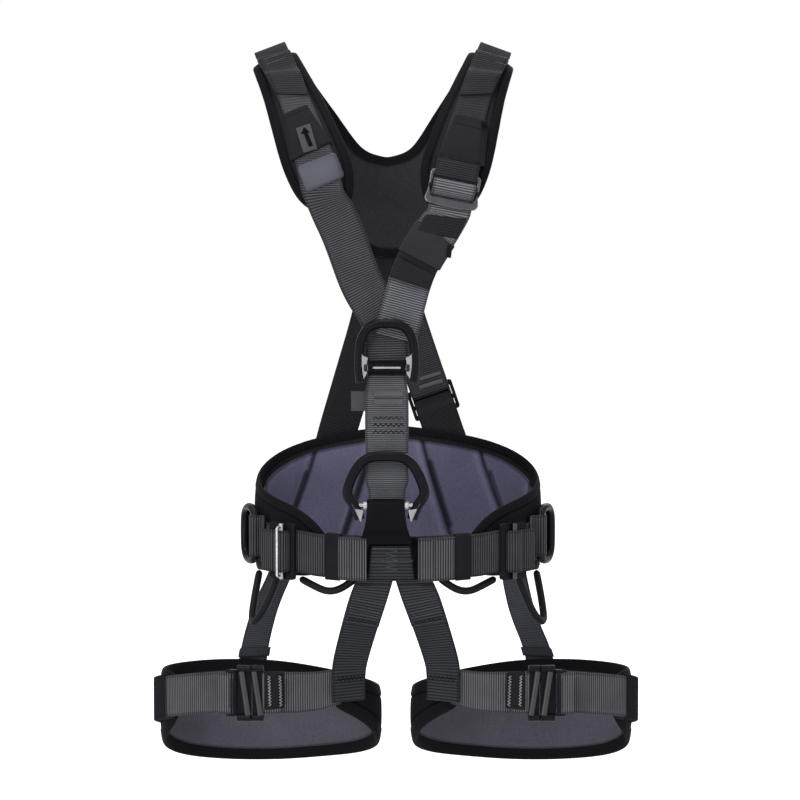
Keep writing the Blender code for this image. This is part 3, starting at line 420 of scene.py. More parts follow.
PANEL_CLOTH = ClothFinish("panel_cloth", (0.012, 0.0115, 0.0145), grain=1300.0, roughness=0.6, specular=0.08)
KEEPER_FACE = ClothFinish("keeper_face", (0.03, 0.03, 0.035), grain=700.0)
TAB_CLOTH = ClothFinish("tab_cloth", (0.045, 0.047, 0.054), grain=800.0)
BAR_CLOTH = ClothFinish("bar_cloth", (0.1, 0.1, 0.112), grain=1000.0, roughness=0.5, specular=0.1)
PATCH_FILM = ClothFinish("patch_film", (0.054, 0.056, 0.078), grain=1500.0, roughness=0.38, specular=0.3,
                         variation=0.35, bump=0.1)
LABEL_TAPE = ClothFinish("label_tape", (0.075, 0.076, 0.088), grain=1400.0, roughness=0.7)
YOKE_PAD = PadFinish("yoke_pad", (0.019, 0.019, 0.023), (0.03, 0.029, 0.035), (0.005, 0.005, 0.007))
WAIST_PAD = PadFinish("waist_pad", (0.01, 0.01, 0.013), (0.02, 0.02, 0.025), (0.006, 0.006, 0.008))
WAIST_LINING = PadFinish("waist_lining", (0.05, 0.05, 0.06), (0.125, 0.121, 0.19), (0.06, 0.058, 0.085),
                         tape=2.0, grain=800.0, crease=0.8)
LEG_PAD = PadFinish("leg_pad", (0.009, 0.009, 0.012), (0.092, 0.09, 0.112), (0.006, 0.006, 0.008), tape=13.0,
                    grain=800.0)
RING_BLACK = HardFinish("ring_black", (0.004, 0.004, 0.007), 0.0, 0.24, wear_and_glint_colour=(0.1, 0.1, 0.12), wear_and_glint=0.6,
                        specular=0.09)
STEEL = HardFinish("steel", (0.36, 0.36, 0.38), 1.0, 0.28, wear_and_glint_colour=(0.6, 0.6, 0.61))
LUG_STEEL = HardFinish("lug_steel", (0.27, 0.27, 0.29), 1.0, 0.36, wear_and_glint_colour=(0.55, 0.55, 0.56), wear_and_glint=0.8)
BUCKLE_GREY = HardFinish("buckle_grey", (0.075, 0.075, 0.082), 0.8, 0.32, wear_and_glint_colour=(0.4, 0.4, 0.42), wear_and_glint=0.8)
BUCKLE_BLACK = HardFinish("buckle_black", (0.004, 0.004, 0.006), 0.0, 0.3, wear_and_glint_colour=(0.06, 0.06, 0.07), wear_and_glint=0.12,
                          specular=0.08)
ROD_GREY = HardFinish("rod_grey", (0.006, 0.006, 0.008), 0.0, 0.32, wear_and_glint=0.0, specular=0.55)
TUBE_BLACK = HardFinish("tube_black", (0.008, 0.008, 0.01), 0.0, 0.42, wear_and_glint_colour=(0.03, 0.03, 0.032), specular=0.1)
THREAD_LIGHT = ClothFinish("thread_light", (0.16, 0.16, 0.17), grain=2500.0)
THREAD_GREY = ClothFinish("thread_grey", (0.085, 0.085, 0.094), grain=2500.0)
THREAD_DARK = ClothFinish("thread_dark", (0.022, 0.022, 0.025), grain=2500.0)
THREAD_TACK = ClothFinish("thread_tack", (0.3, 0.3, 0.31), grain=2500.0)
THREAD_BLACK = ClothFinish("thread_black", (0.006, 0.006, 0.008), grain=2500.0)
FLOOR = FloorFinish("floor", (0.85, 0.85, 0.85), 0.55, 1.0)


# Mesh tools


def place(piece: Piece, body: str, slot: Slot, nodes: Sequence[str] = (),
          fill: Optional[float] = None) -> Piece:
    """Hand a finished piece to the frame.

    Args:
        piece: The piece, at the origin.
        body: CAD body that it rides on.
        slot: Record slot of its finish; not used.
        nodes: CAD nodes that it stands for.
        fill: How tightly it is padded, for a cushion; not used.

    Returns:
        The same piece.
    """
    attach(piece, body)
    if nodes:
        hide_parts(*nodes)
    LOG.info("%s rides on %s, %d faces", piece.name, body, len(piece.data.polygons))
    return piece


def in_scene(name: str, data: bpy.types.ID) -> Piece:
    """A new object of the data, linked into the scene."""
    made = bpy.data.objects.new(name, data)
    bpy.context.scene.collection.objects.link(made)
    return made


def linked(name: str, mesh: Mesh, finish: Finish, smooth: bool = True) -> Piece:
    """An object of the mesh in the scene with one finish."""
    mesh.polygons.foreach_set("use_smooth", [smooth] * len(mesh.polygons))
    mesh.materials.clear()
    mesh.materials.append(finish.material())
    return in_scene(name, mesh)


def new_piece(name: str, verts: Iterable, faces: Iterable, finish: Finish) -> Piece:
    """A closed or flat mesh object with its faces turned outwards."""
    mesh = bpy.data.meshes.new(name)
    mesh.from_pydata([tuple(v) for v in verts], [], [tuple(f) for f in faces])
    turned_out(mesh)
    return linked(name, mesh, finish)


def turned_out(mesh: Mesh, merge: float = 1e-7) -> None:
    """Merge doubled points and turn the faces outwards."""
    shape = bmesh.new()
    shape.from_mesh(mesh)
    bmesh.ops.remove_doubles(shape, verts=shape.verts, dist=merge)
    bmesh.ops.recalc_face_normals(shape, faces=shape.faces)
    shape.to_mesh(mesh)
    shape.free()


def node_shape(node: str) -> Shape:
    """A merged copy of a CAD node's mesh."""
    shape = bmesh.new()
    shape.from_mesh(frame["nodes"][node].data)
    bmesh.ops.remove_doubles(shape, verts=shape.verts, dist=0.00001)
    for vert in shape.verts:
        vert.normal_update()
    return shape


def shape_piece(name: str, shape: Shape, finish: Finish) -> Piece:
    """A smooth-shaded object from a bmesh, which is freed."""
    mesh = bpy.data.meshes.new(name)
    shape.to_mesh(mesh)
    shape.free()
    return linked(name, mesh, finish)


def settle(piece: Piece) -> Piece:
    """Turn a piece and its modifiers into a plain mesh."""
    bpy.context.view_layer.update()
    seen = piece.evaluated_get(bpy.context.evaluated_depsgraph_get())
    mesh = bpy.data.meshes.new_from_object(seen)
    old = piece.data
    piece.modifiers.clear()
    piece.data = mesh
    mesh.name = piece.name
    bpy.data.meshes.remove(old)
    return piece


def to_flats(shape: Shape) -> None:
    """Join the faces of a merged copy that lie in one plane."""
    bmesh.ops.dissolve_limit(shape, angle_limit=FLAT, verts=shape.verts, edges=shape.edges)


def to_quads(shape: Shape) -> None:
    """Join the triangles of a merged copy into quads."""
    bmesh.ops.join_triangles(shape, faces=shape.faces, angle_face_threshold=math.pi,
                             angle_shape_threshold=math.pi)


def subdivided(piece: Piece, levels: int) -> Piece:
    """The piece with a settled subdivision surface."""
    step = piece.modifiers.new("Round", "SUBSURF")
    step.levels = step.render_levels = levels
    return settle(piece)


def true_shaded(piece: Piece) -> Piece:
    """The piece, settled with the normals of its broad faces."""
    trim = piece.modifiers.new("Shading", "WEIGHTED_NORMAL")
    trim.keep_sharp = True
    return settle(piece)


def bevelled(piece: Piece, width: float, segments: int = 3, angle: float = 40.0) -> Piece:
    """The piece with settled rounded edges and flat-true normals."""
    step = piece.modifiers.new("Edges", "BEVEL")
    step.width = width
    step.segments = segments
    step.limit_method = "ANGLE"
    step.angle_limit = math.radians(angle)
    return true_shaded(piece)


def points_of(mesh: Mesh, key: str = "co") -> Array:
    """The mesh's points, or their normals, as rows."""
    flat = np.zeros(len(mesh.vertices) * 3, dtype=np.float32)
    mesh.vertices.foreach_get(key, flat)
    return flat.reshape(-1, 3).astype(float)


def set_points(mesh: Mesh, rows: Array) -> None:
    """Move the mesh's points."""
    mesh.vertices.foreach_set("co", rows.astype(np.float32).ravel())
    mesh.update()


def set_numbers(mesh: Mesh, **numbers: Array) -> None:
    """Keep named numbers on the mesh's points."""
    for key, values in numbers.items():
        kept = mesh.attributes.get(key) or mesh.attributes.new(key, "FLOAT", "POINT")
        kept.data.foreach_set("value", np.asarray(values, dtype=np.float32))


def set_strap_map(mesh: Mesh, across: Array, along: Array) -> None:
    """Give the mesh the "strap" map: share of the width, and millimetres along."""
    picks = np.zeros(len(mesh.loops), dtype=np.int32)
    mesh.loops.foreach_get("vertex_index", picks)
    rows = np.column_stack([across[picks], along[picks]]).astype(np.float32)
    mesh.uv_layers.new(name="strap").data.foreach_set("uv", rows.ravel())


def unit(rows: Array) -> Array:
    """Rows scaled to length 1."""
    return rows / (np.linalg.norm(rows, axis=-1, keepdims=True) + 1e-12)


def capped(stations: int, ring: int) -> list[tuple[int, ...]]:
    """Side faces and the two end faces of rings of points that follow one another."""
    sides = [(i * ring + j, i * ring + (j + 1) % ring, (i + 1) * ring + (j + 1) % ring, (i + 1) * ring + j)
             for i in range(stations - 1) for j in range(ring)]
    return sides + [tuple(range(ring)), tuple((stations - 1) * ring + j for j in range(ring))]


def rounded_box(half: float, low: float, high: float, rounding: float, steps: int) -> list[Spot]:
    """Points round a box with rounded corners, so many steps to a corner."""
    points = []
    for turn, (x, y) in enumerate(((half, high), (-half, high), (-half, low), (half, low))):
        middle = (x - math.copysign(rounding, x), y - rounding if y == high else y + rounding)
        for k in range(steps + 1):
            angle = math.radians(90 * turn + 90 / steps * k)
            points.append((middle[0] + rounding * math.cos(angle), middle[1] + rounding * math.sin(angle)))
    return points


def curve_through(points: Array, count: int) -> Array:
    """Even points on a centripetal Catmull-Rom curve.

    Args:
        points: Rows of any width; the first three columns set the spacing.
        count: Number of points to return.

    Returns:
        An array of count rows.
    """
    points = np.asarray(points, dtype=float)
    ends = np.vstack([2 * points[0] - points[1], points, 2 * points[-1] - points[-2]])
    gaps = np.sqrt(np.linalg.norm(np.diff(ends[:, :3], axis=0), axis=1)) + 1e-9
    knots = np.concatenate([[0], np.cumsum(gaps)])
    levels = (((0, 1), (1, 2), (2, 3)), ((0, 2), (1, 3)), ((1, 2),))
    fine = []
    for i in range(1, len(ends) - 2):
        knot = knots[i - 1:i + 3]
        for t in np.linspace(knot[1], knot[2], 13)[:-1]:
            rows = ends[i - 1:i + 3]
            for spans in levels:
                rows = [(knot[b] - t) / (knot[b] - knot[a]) * p + (t - knot[a]) / (knot[b] - knot[a]) * q
                        for (a, b), p, q in zip(spans, rows, rows[1:])]
            fine.append(rows[0])
    fine.append(points[-1])
    fine = np.array(fine)
    run = np.concatenate([[0], np.cumsum(np.linalg.norm(np.diff(fine[:, :3], axis=0), axis=1))])
    spots = np.linspace(0, run[-1], count)
    return np.column_stack([np.interp(spots, run, fine[:, k]) for k in range(fine.shape[1])])


# Picture points


@dataclass(frozen=True)
class View:
    """The camera's place, and the rays through its picture."""

    eye: tuple[float, float, float] = (0.0042, -2.7932, 0.3328)
    target: tuple[float, float, float] = (0.0042, 0.0, 0.1375)
    lens: float = 120.0
    sensor: float = 36.0
    pixels: float = 800.0

    @property
    def turn(self) -> Matrix:
        """The camera's turn in the scene."""
        return (Vector(self.target) - Vector(self.eye)).to_track_quat("-Z", "Y").to_matrix()

    def ray(self, u: float, v: float) -> Vector:
        """Direction from the camera through a picture point."""
        scale = self.sensor / self.lens / self.pixels
        middle = self.pixels / 2
        return (self.turn @ Vector(((u - middle) * scale, (middle - v) * scale, -1.0))).normalized()


VIEW = View()


class Carrier:
    """Pieces that carry what is placed by picture points."""

    def __init__(self, *pieces: Piece) -> None:
        """Keep the pieces' faces for looking up."""
        verts: list = []
        faces: list = []
        for piece in pieces:
            first = len(verts)
            verts.extend(v.co.copy() for v in piece.data.vertices)
            faces.extend([first + i for i in face.vertices] for face in piece.data.polygons)
        self.tree = BVHTree.FromPolygons(verts, faces)

    def depth(self, u: float, v: float) -> Optional[float]:
        """Distance from the camera to the pieces at a picture point."""
        return self.tree.ray_cast(Vector(VIEW.eye), VIEW.ray(u, v))[3]

    def line(self, spots: Sequence[Spot], lift: float = 0.15 * MM, step: float = 0.7) -> Array:
        """Points just above the pieces along a picture line; points that miss them are left out."""
        points = []
        for (u0, v0), (u1, v1) in zip(spots, spots[1:]):
            count = max(1, int(math.hypot(u1 - u0, v1 - v0) / step))
            for share in np.linspace(0, 1, count + 1):
                u, v = u0 + (u1 - u0) * share, v0 + (v1 - v0) * share
                far = self.depth(u, v)
                if far is not None:
                    points.append(tuple(Vector(VIEW.eye) + VIEW.ray(u, v) * (far - lift)))
        return np.array(points)


def zigzag(start: Spot, end: Spot, swing: float, pitch: float) -> list[Spot]:
    """Corner points of a zig-zag along a straight line, with its swing to either side."""
    a, b = np.array(start, dtype=float), np.array(end, dtype=float)
    long = np.linalg.norm(b - a)
    aside = np.array([-(b - a)[1], (b - a)[0]]) / long
    count = max(2, int(round(long / pitch)))
    return [tuple(a + (b - a) * i / count + aside * swing * (-1) ** i) for i in range(count + 1)]


@dataclass
class Overlay:
    """A thin panel, label or bar that is sewn on what lies under its four picture corners."""

    name: str
    corners: tuple[Spot, Spot, Spot, Spot]
    finish: Finish
    carrier: Carrier
    thickness: float = 0.9 * MM
    rounding: float = 0.0
    hem: float = 0.0
    step: float = 1.0
    jump: float = 22 * MM
    tuck: float = 0.35 * MM

    def spots(self) -> Array:
        """Picture points of the grid, rows from top to bottom."""
        tl, tr, br, bl = (np.array(c, dtype=float) for c in self.corners)
        wide = max(np.linalg.norm(tr - tl), np.linalg.norm(br - bl))
        tall = max(np.linalg.norm(bl - tl), np.linalg.norm(br - tr))
        across = np.linspace(-wide / 2, wide / 2, max(5, int(wide / self.step) + 1))
        down = np.linspace(-tall / 2, tall / 2, max(5, int(tall / self.step) + 1))
        x, y = np.meshgrid(across, down)
        if self.rounding:
            r = self.rounding
            dx, dy = np.clip(abs(x) - wide / 2 + r, 0, r), np.clip(abs(y) - tall / 2 + r, 0, r)
            x = x - np.sign(x) * (dx - dx * np.sqrt(1 - dy * dy / (2 * r * r)))
            y = y - np.sign(y) * (dy - dy * np.sqrt(1 - dx * dx / (2 * r * r)))
        s, t = (x / wide + 0.5)[..., None], (y / tall + 0.5)[..., None]
        return (tl * (1 - s) + tr * s) * (1 - t) + (bl * (1 - s) + br * s) * t

    def build(self) -> Piece:
        """Lay the grid on the carrier, give it thickness and close it."""
        spots = self.spots()
        rows, cols = spots.shape[:2]
        depth = np.array([[self.carrier.depth(*spots[i, j]) or np.nan for j in range(cols)]
                          for i in range(rows)])
        middle = np.nanmedian(depth)
        depth = np.where(np.isnan(depth) | (abs(depth - middle) > self.jump), middle, depth)
        depth = self.smoothed(depth)
        rays = np.array([[tuple(VIEW.ray(*spots[i, j])) for j in range(cols)] for i in range(rows)])
        points = np.array(VIEW.eye) + rays * depth[..., None]
        normal = unit(np.cross(np.gradient(points, axis=0), np.gradient(points, axis=1)))
        normal *= -np.sign((normal * rays).sum(-1, keepdims=True))
        share = np.minimum(np.minimum(np.arange(rows), np.arange(rows)[::-1])[:, None],
                           np.minimum(np.arange(cols), np.arange(cols)[::-1])[None, :])
        height = self.thickness * np.interp(share, (0, 1, 2, 3), (0.35, 0.85, 1.0, 1.0))
        if self.hem:
            down = np.arange(rows)[::-1][:, None] * self.step
            wave = 0.65 + 0.35 * np.sin(np.arange(cols) * self.step * 2 * math.pi / 8.5)[None, :]
            height = height + self.hem * np.exp(-((down - 2.5) / 1.7) ** 2) * wave
        top = points + normal * height[..., None]
        low = points - normal * self.tuck
        size = rows * cols
        quads = [(i * cols + j, i * cols + j + 1, (i + 1) * cols + j + 1, (i + 1) * cols + j)
                 for i in range(rows - 1) for j in range(cols - 1)]
        rim = ([(0, j) for j in range(cols)] + [(i, cols - 1) for i in range(1, rows)]
               + [(rows - 1, j) for j in range(cols - 2, -1, -1)] + [(i, 0) for i in range(rows - 2, 0, -1)])
        rim = [i * cols + j for i, j in rim]
        sides = [(a, b, b + size, a + size) for a, b in zip(rim, rim[1:] + rim[:1])]
        faces = quads + [tuple(size + k for k in q[::-1]) for q in quads] + sides
        piece = new_piece(self.name, np.vstack([top.reshape(-1, 3), low.reshape(-1, 3)]), faces, self.finish)
        across, along = np.meshgrid(np.linspace(0, 1, cols), np.linspace(0, 1, rows))
        long = np.linalg.norm(points[0, 0] - points[-1, 0]) / MM
        set_strap_map(piece.data, np.tile(across.ravel(), 2), np.tile(along.ravel() * long, 2))
        return piece

    @staticmethod
    def smoothed(depth: Array) -> Array:
        """Depths that pass over the ribs of the carrier and even out its steps."""
        def around(grid: Array) -> list[Array]:
            """The grid and its eight shifted copies."""
            wide = np.pad(grid, 1, mode="edge")
            return [wide[i:i + grid.shape[0], j:j + grid.shape[1]] for i in range(3) for j in range(3)]

        for _ in range(2):
            depth = np.min(around(depth), axis=0)
        for _ in range(4):
            depth = np.mean(around(depth), axis=0)
        return depth

    def dress(self, body: str = "harness", slot: Slot = Slot.SHELL) -> Piece:
        """Build the panel and hand it to the frame."""
        return place(self.build(), body, slot)


# Strap lines


@dataclass
class StrapLine:
    """A strap's centre line, width direction and face normal at its steps."""

    centre: Array
    across: Array
    normal: Array

    @classmethod
    def of_node(cls, node: str) -> "StrapLine":
        """Read the stations of a CAD ribbon: four rails of corners and end rectangles.

        Args:
            node: Name of the CAD ribbon.

        Returns:
            Its line at the CAD stations.
        """
        shape = node_shape(node)
        count = len(shape.verts) // 4

        def fold(edge: object) -> float:
            """Fold at an edge, leaving out the bends across the strap."""
            angle = edge.calc_face_angle(0.0)
            return angle if angle > math.radians(75) or edge.calc_length() < 25 * MM else 0.0

        edges = sorted(shape.edges, key=fold, reverse=True)[:4 * (count - 1) + 8]
        links: dict = {}
        for edge in edges:
            a, b = edge.verts
            links.setdefault(a, []).append(b)
            links.setdefault(b, []).append(a)
        corners = {v for v, mates in links.items() if len(mates) == 3}
        first = min(corners, key=lambda v: v.index)
        thin = min((m for m in links[first] if m in corners), key=lambda m: (m.co - first.co).length)
        wide = next(m for m in links[first] if m in corners and m is not thin)
        last = next(m for m in links[thin] if m in corners and m is not first)

        def rail(corner: object) -> list:
            """Corner points along one rail."""
            path = [corner]
            here, before = next(m for m in links[corner] if m not in corners), corner
            while True:
                path.append(here)
                if here in corners:
                    return [v.co.copy() for v in path]
                here, before = next(m for m in links[here] if m is not before), here

        rails = [np.array([tuple(p) for p in rail(c)]) for c in (first, thin, wide, last)]
        shape.free()
        near, far = (rails[0] + rails[1]) / 2, (rails[2] + rails[3]) / 2
        normal = unit(rails[0] - rails[1] + rails[2] - rails[3])
        return cls((near + far) / 2, far - near, normal)

    def even(self, step: float) -> "StrapLine":
        """The same line at even steps, with normals square to it."""
        table = np.hstack([self.centre, self.across, self.normal])
        run = np.linalg.norm(np.diff(self.centre, axis=0), axis=1).sum()
        fine = curve_through(table, max(4, int(round(run / step)) + 1))
        ahead = unit(np.gradient(fine[:, :3], axis=0))
        up = unit(np.cross(unit(fine[:, 3:6]), ahead))
        if (up * fine[:, 6:9]).sum() < 0:
            up = -up
        return StrapLine(fine[:, :3], fine[:, 3:6], up)

    def facing(self) -> "StrapLine":
        """The line with its normals to the front."""
        if (self.normal @ np.array(FRONT)).sum() < 0:
            return StrapLine(self.centre, -self.across, -self.normal)
        return self

    @property
    def run(self) -> Array:
        """Distance along the line at each step."""
        return np.concatenate([[0], np.cumsum(np.linalg.norm(np.diff(self.centre, axis=0), axis=1))])

    def at_height(self, z: float) -> float:
        """Distance along the line at which it first comes nearest to a height."""
        return float(self.run[np.argmin(abs(self.centre[:, 2] - z))])

    def part(self, start: float, end: float, lift: float = 0.0, share: float = 1.0) -> "StrapLine":
        """A length of the line, raised off its face and as wide as a share of it."""
        spots = np.linspace(start, end, max(4, int(abs(end - start) / MM) + 1))
        run = self.run
        centre, across, normal = (np.column_stack([np.interp(spots, run, rows[:, k]) for k in range(3)])
                                  for rows in (self.centre, self.across, self.normal))
        return StrapLine(centre + unit(normal) * lift, across * share, unit(normal))

    def reaching(self, more: float) -> "StrapLine":
        """The line from its higher end, which is carried on by a length."""
        turn = 1 if self.centre[0][2] > self.centre[-1][2] else -1
        centre, across, normal = (rows[::turn] for rows in (self.centre, self.across, self.normal))
        tip = centre[0] + unit(centre[0] - centre[1]) * more
        return StrapLine(np.vstack([tip, centre]), np.vstack([across[:1], across]),
                         np.vstack([normal[:1], normal]))

    def folded(self, radius: float, back: float) -> "StrapLine":
        """The line carried on round a fold at its end and back over its own face."""
        ahead, up = unit(self.centre[-1] - self.centre[-2]), self.normal[-1]
        turns = np.linspace(0, math.pi, 9)[1:, None]
        bend = self.centre[-1] + radius * (np.sin(turns) * ahead + (1 - np.cos(turns)) * up)
        bend_up = np.cos(turns) * up - np.sin(turns) * ahead
        run = self.run
        keep = run[-1] - run[::-1] <= back
        home = (self.centre + self.normal * 2 * radius)[::-1][keep][1:]
        centre = np.vstack([self.centre, bend, home])
        normal = np.vstack([self.normal, bend_up, -self.normal[::-1][keep][1:]])
        across = np.vstack([self.across, np.repeat(self.across[-1:], len(bend), 0),
                            self.across[::-1][keep][1:]])
        return StrapLine(centre, across, normal)

    def row(self, distance: float, low: float = -0.4, high: float = 0.4, lift: float = 0.0,
            swing: float = 0.0, pitch: float = 2.4 * MM) -> Array:
        """A seam across the line, from one share of the width to another, straight or zig-zag."""
        wide = float(np.linalg.norm(self.across[0]))
        count = max(2, int(round((high - low) * wide / pitch)))
        seam = []
        for i, share in enumerate(np.linspace(low, high, count + 1)):
            spot = self.part(distance + swing * (-1) ** i, distance + swing * (-1) ** i + 0.1 * MM, lift)
            seam.append(spot.centre[0] + spot.across[0] * share)
        return np.array(seam)


class MeshTree:
    """Base of the Geometry Nodes trees: named inputs, and a finish on what comes out."""

    def __init__(self, name: str, *inputs: tuple[str, str]) -> None:
        """Start the tree.

        Args:
            name: Name of the tree.
            *inputs: Name and kind of each input between the geometry and the finish.
        """
        self.tree = bpy.data.node_groups.new(name, "GeometryNodeTree")
        face = self.tree.interface
        ports = (("Geometry", "Geometry"), *inputs, ("Finish", "Material"))
        self.keys = [face.new_socket(label, in_out="INPUT", socket_type="NodeSocket" + kind).identifier
                     for label, kind in ports][1:]
        face.new_socket("Geometry", in_out="OUTPUT", socket_type="NodeSocketGeometry")
        self.graph = Graph(self.tree)
        self.given = self.graph.add("NodeGroupInput").outputs

    def hand_out(self, shape: Socket) -> None:
        """Give a shape the finish and let it leave the tree."""
        dressed = self.graph.add("GeometryNodeSetMaterial",
                                 {"Geometry": shape, "Material": self.given[len(self.keys)]})
        self.graph.add("NodeGroupOutput", {0: dressed.outputs[0]})

    def apply(self, piece: Piece, *values: object) -> Piece:
        """Put the tree on a piece with a value for each input, and settle it."""
        step = piece.modifiers.new("Tree", "NODES")
        step.node_group = self.tree
        for key, value in zip(self.keys, values):
            step[key] = value
        return settle(piece)


class RibTree(MeshTree):
    """Geometry Nodes tree that presses ribs across a strap along its own length."""

    def __init__(self) -> None:
        """Build the tree with its named inputs."""
        super().__init__("webbing_ribs", ("Rib pitch", "Float"), ("Rib depth", "Float"))
        graph, (shape, pitch, depth) = self.graph, self.given[:3]
        along, broad = (graph.add("GeometryNodeInputNamedAttribute", {"Name": name},
                                  data_type="FLOAT").outputs[0] for name in ("along", "broad"))
        turn = graph.times(graph.math("DIVIDE", along, pitch), 2 * math.pi)
        wave = graph.scaled(graph.math("COSINE", turn), 0.5, -0.5)
        normal = graph.add("GeometryNodeInputNormal").outputs[0]
        shift = graph.add("ShaderNodeVectorMath", {0: normal, "Scale": graph.times(wave, depth, broad)},
                          operation="SCALE").outputs[0]
        moved = graph.add("GeometryNodeSetPosition", {"Geometry": shape, "Offset": shift})
        real = graph.add("GeometryNodeRealizeInstances", {0: moved.outputs[0]})
        self.hand_out(real.outputs[0])


class StitchTree(MeshTree):
    """Geometry Nodes tree that lays thread along seam lines: single stitches or a running zig-zag."""

    def __init__(self) -> None:
        """Build the tree with its named inputs."""
        super().__init__("stitching", ("Stitch pitch", "Float"), ("Stitch length", "Float"),
                         ("Thread radius", "Float"), ("Running thread", "Bool"))
        graph, (shape, pitch, length, radius, running) = self.graph, self.given[:5]
        line = graph.add("GeometryNodeMeshToCurve", {0: shape}).outputs[0]
        even = graph.add("GeometryNodeResampleCurve", {"Curve": line, "Length": pitch}, mode="LENGTH")
        stitch = graph.add("GeometryNodeMeshUVSphere", {"Segments": 6, "Rings": 4, "Radius": 1.0}).outputs[0]
        half = graph.times(length, 0.5)
        size = graph.add("ShaderNodeCombineXYZ", {0: half, 1: radius, 2: radius}).outputs[0]
        tangent = graph.add("GeometryNodeInputTangent").outputs[0]
        turn = graph.add("FunctionNodeAlignRotationToVector", {"Vector": tangent}, axis="X").outputs[0]
        laid = graph.add("GeometryNodeInstanceOnPoints", {"Points": even.outputs[0], "Instance": stitch,
                                                          "Rotation": turn, "Scale": size}).outputs[0]
        ring = graph.add("GeometryNodeCurvePrimitiveCircle", {"Resolution": 5, "Radius": radius})
        cord = graph.add("GeometryNodeCurveToMesh", {"Curve": line, "Profile Curve": ring.outputs[0],
                                                     "Fill Caps": True}).outputs[0]
        pick = graph.add("GeometryNodeSwitch", {"Switch": running, "False": laid, "True": cord},
                         input_type="GEOMETRY").outputs[0]
        real = graph.add("GeometryNodeRealizeInstances", {0: pick})
        soft = graph.add("GeometryNodeSetShadeSmooth", {"Geometry": real.outputs[0]})
        self.hand_out(soft.outputs[0])

    def sew(self, name: str, seams: Sequence[Array], finish: Finish, pitch: float = 2.2 * MM,
            length: float = 1.7 * MM, radius: float = 0.3 * MM, running: bool = False, body: str = "harness",
            slot: Slot = Slot.WEBBING) -> Piece:
        """Sew thread along seams and hand it to the frame.

        Args:
            name: Name of the new piece.
            seams: Polylines that the thread follows.
            finish: The thread.
            pitch: Distance from stitch to stitch.
            length: Length of one stitch.
            radius: Half the thread's thickness.
            running: True for one unbroken thread along each seam.
            body: CAD body that it rides on.
            slot: Record slot of what it is sewn to.

        Returns:
            A plain mesh piece.
        """
        verts: list = []
        edges: list = []
        for seam in seams:
            first = len(verts)
            verts.extend(tuple(p) for p in seam)
            edges.extend((first + i, first + i + 1) for i in range(len(seam) - 1))
        mesh = bpy.data.meshes.new(name)
        mesh.from_pydata(verts, edges, [])
        piece = self.apply(in_scene(name, mesh), pitch, length, radius, running, finish.material())
        return place(piece, body, slot)


RIBS = RibTree()
STITCHES = StitchTree()


# Straps


@dataclass
class Strap:
    """One length of webbing along a line, which may stand for a CAD ribbon."""

    name: str
    finish: Finish
    line: StrapLine
    body: str = "harness"
    slot: Slot = Slot.WEBBING
    nodes: tuple[str, ...] = ()
    thickness: float = 2.4 * MM
    rib_depth: float = 0.5 * MM
    columns: int = 5

    @classmethod
    def of(cls, node: str, finish: Finish, body: str = "harness", **more: object) -> "Strap":
        """The strap that stands for a CAD ribbon."""
        return cls(node + "_web", finish, StrapLine.of_node(node), body, nodes=(node,), **more)

    def build(self) -> Piece:
        """Loft a rounded section along the line and press the ribs in."""
        ribbed = isinstance(self.finish, WebbingFinish)
        pitch = self.finish.pitch * MM if ribbed else 4.8 * MM
        line = self.line = self.line.even(pitch / 4)
        section = self.section()
        count, ring = len(line.centre), len(section)
        shares, edges, lifts = (np.array(column) for column in zip(*section))
        width = np.linalg.norm(line.across, axis=1, keepdims=True)
        across = line.across[:, None, :] * shares[None, :, None]
        across -= (line.across / width)[:, None, :] * edges[None, :, None]
        squeeze = np.ones(count)
        squeeze[[0, -1]] = 0.55
        rise = line.normal[:, None, :] * lifts[None, :, None] * squeeze[:, None, None]
        verts = line.centre[:, None, :] + across + rise
        piece = new_piece(self.name, verts.reshape(-1, 3), capped(count, ring), self.finish)
        along = np.repeat(line.run, ring)
        set_numbers(piece.data, along=along, broad=np.tile((edges == 0).astype(float), count))
        set_strap_map(piece.data, np.tile(shares + 0.5, count), along / MM)
        return RIBS.apply(piece, pitch, self.rib_depth, self.finish.material()) if ribbed else piece

    def section(self) -> list[tuple[float, float, float]]:
        """Points round the strap: share of the width, pull in from the edge, height."""
        half, turn = self.thickness / 2, min(0.9 * MM, self.thickness / 2)
        top = [(s, 0.0, half) for s in np.linspace(-0.5, 0.5, self.columns + 2)[1:-1]]
        right = [(0.5, turn, half), (0.5, 0.3 * turn, 0.72 * half), (0.5, 0.0001 * MM, 0.0),
                 (0.5, 0.3 * turn, -0.72 * half), (0.5, turn, -half)]
        low = [(s, 0.0, -half) for s, _, _ in reversed(top)]
        left = [(-s, -e, -h) for s, e, h in right]
        return top + right + low + left

    def dress(self) -> Piece:
        """Build the strap and hand it to the frame."""
        return place(self.build(), self.body, self.slot, self.nodes)


@dataclass
class ElasticStrap(Strap):
    """A rear leg strap between the belt and the leg loop."""

    start: Vector = field(default_factory=Vector)
    end: Vector = field(default_factory=Vector)

    def dress(self) -> Piece:
        """Build the strap, bake its place into its mesh and hide the CAD strap that it stands for."""
        piece = self.build()
        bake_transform(piece)
        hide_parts(*self.nodes)
        LOG.info("%s bends between harness and %s", piece.name, self.body)
        return piece


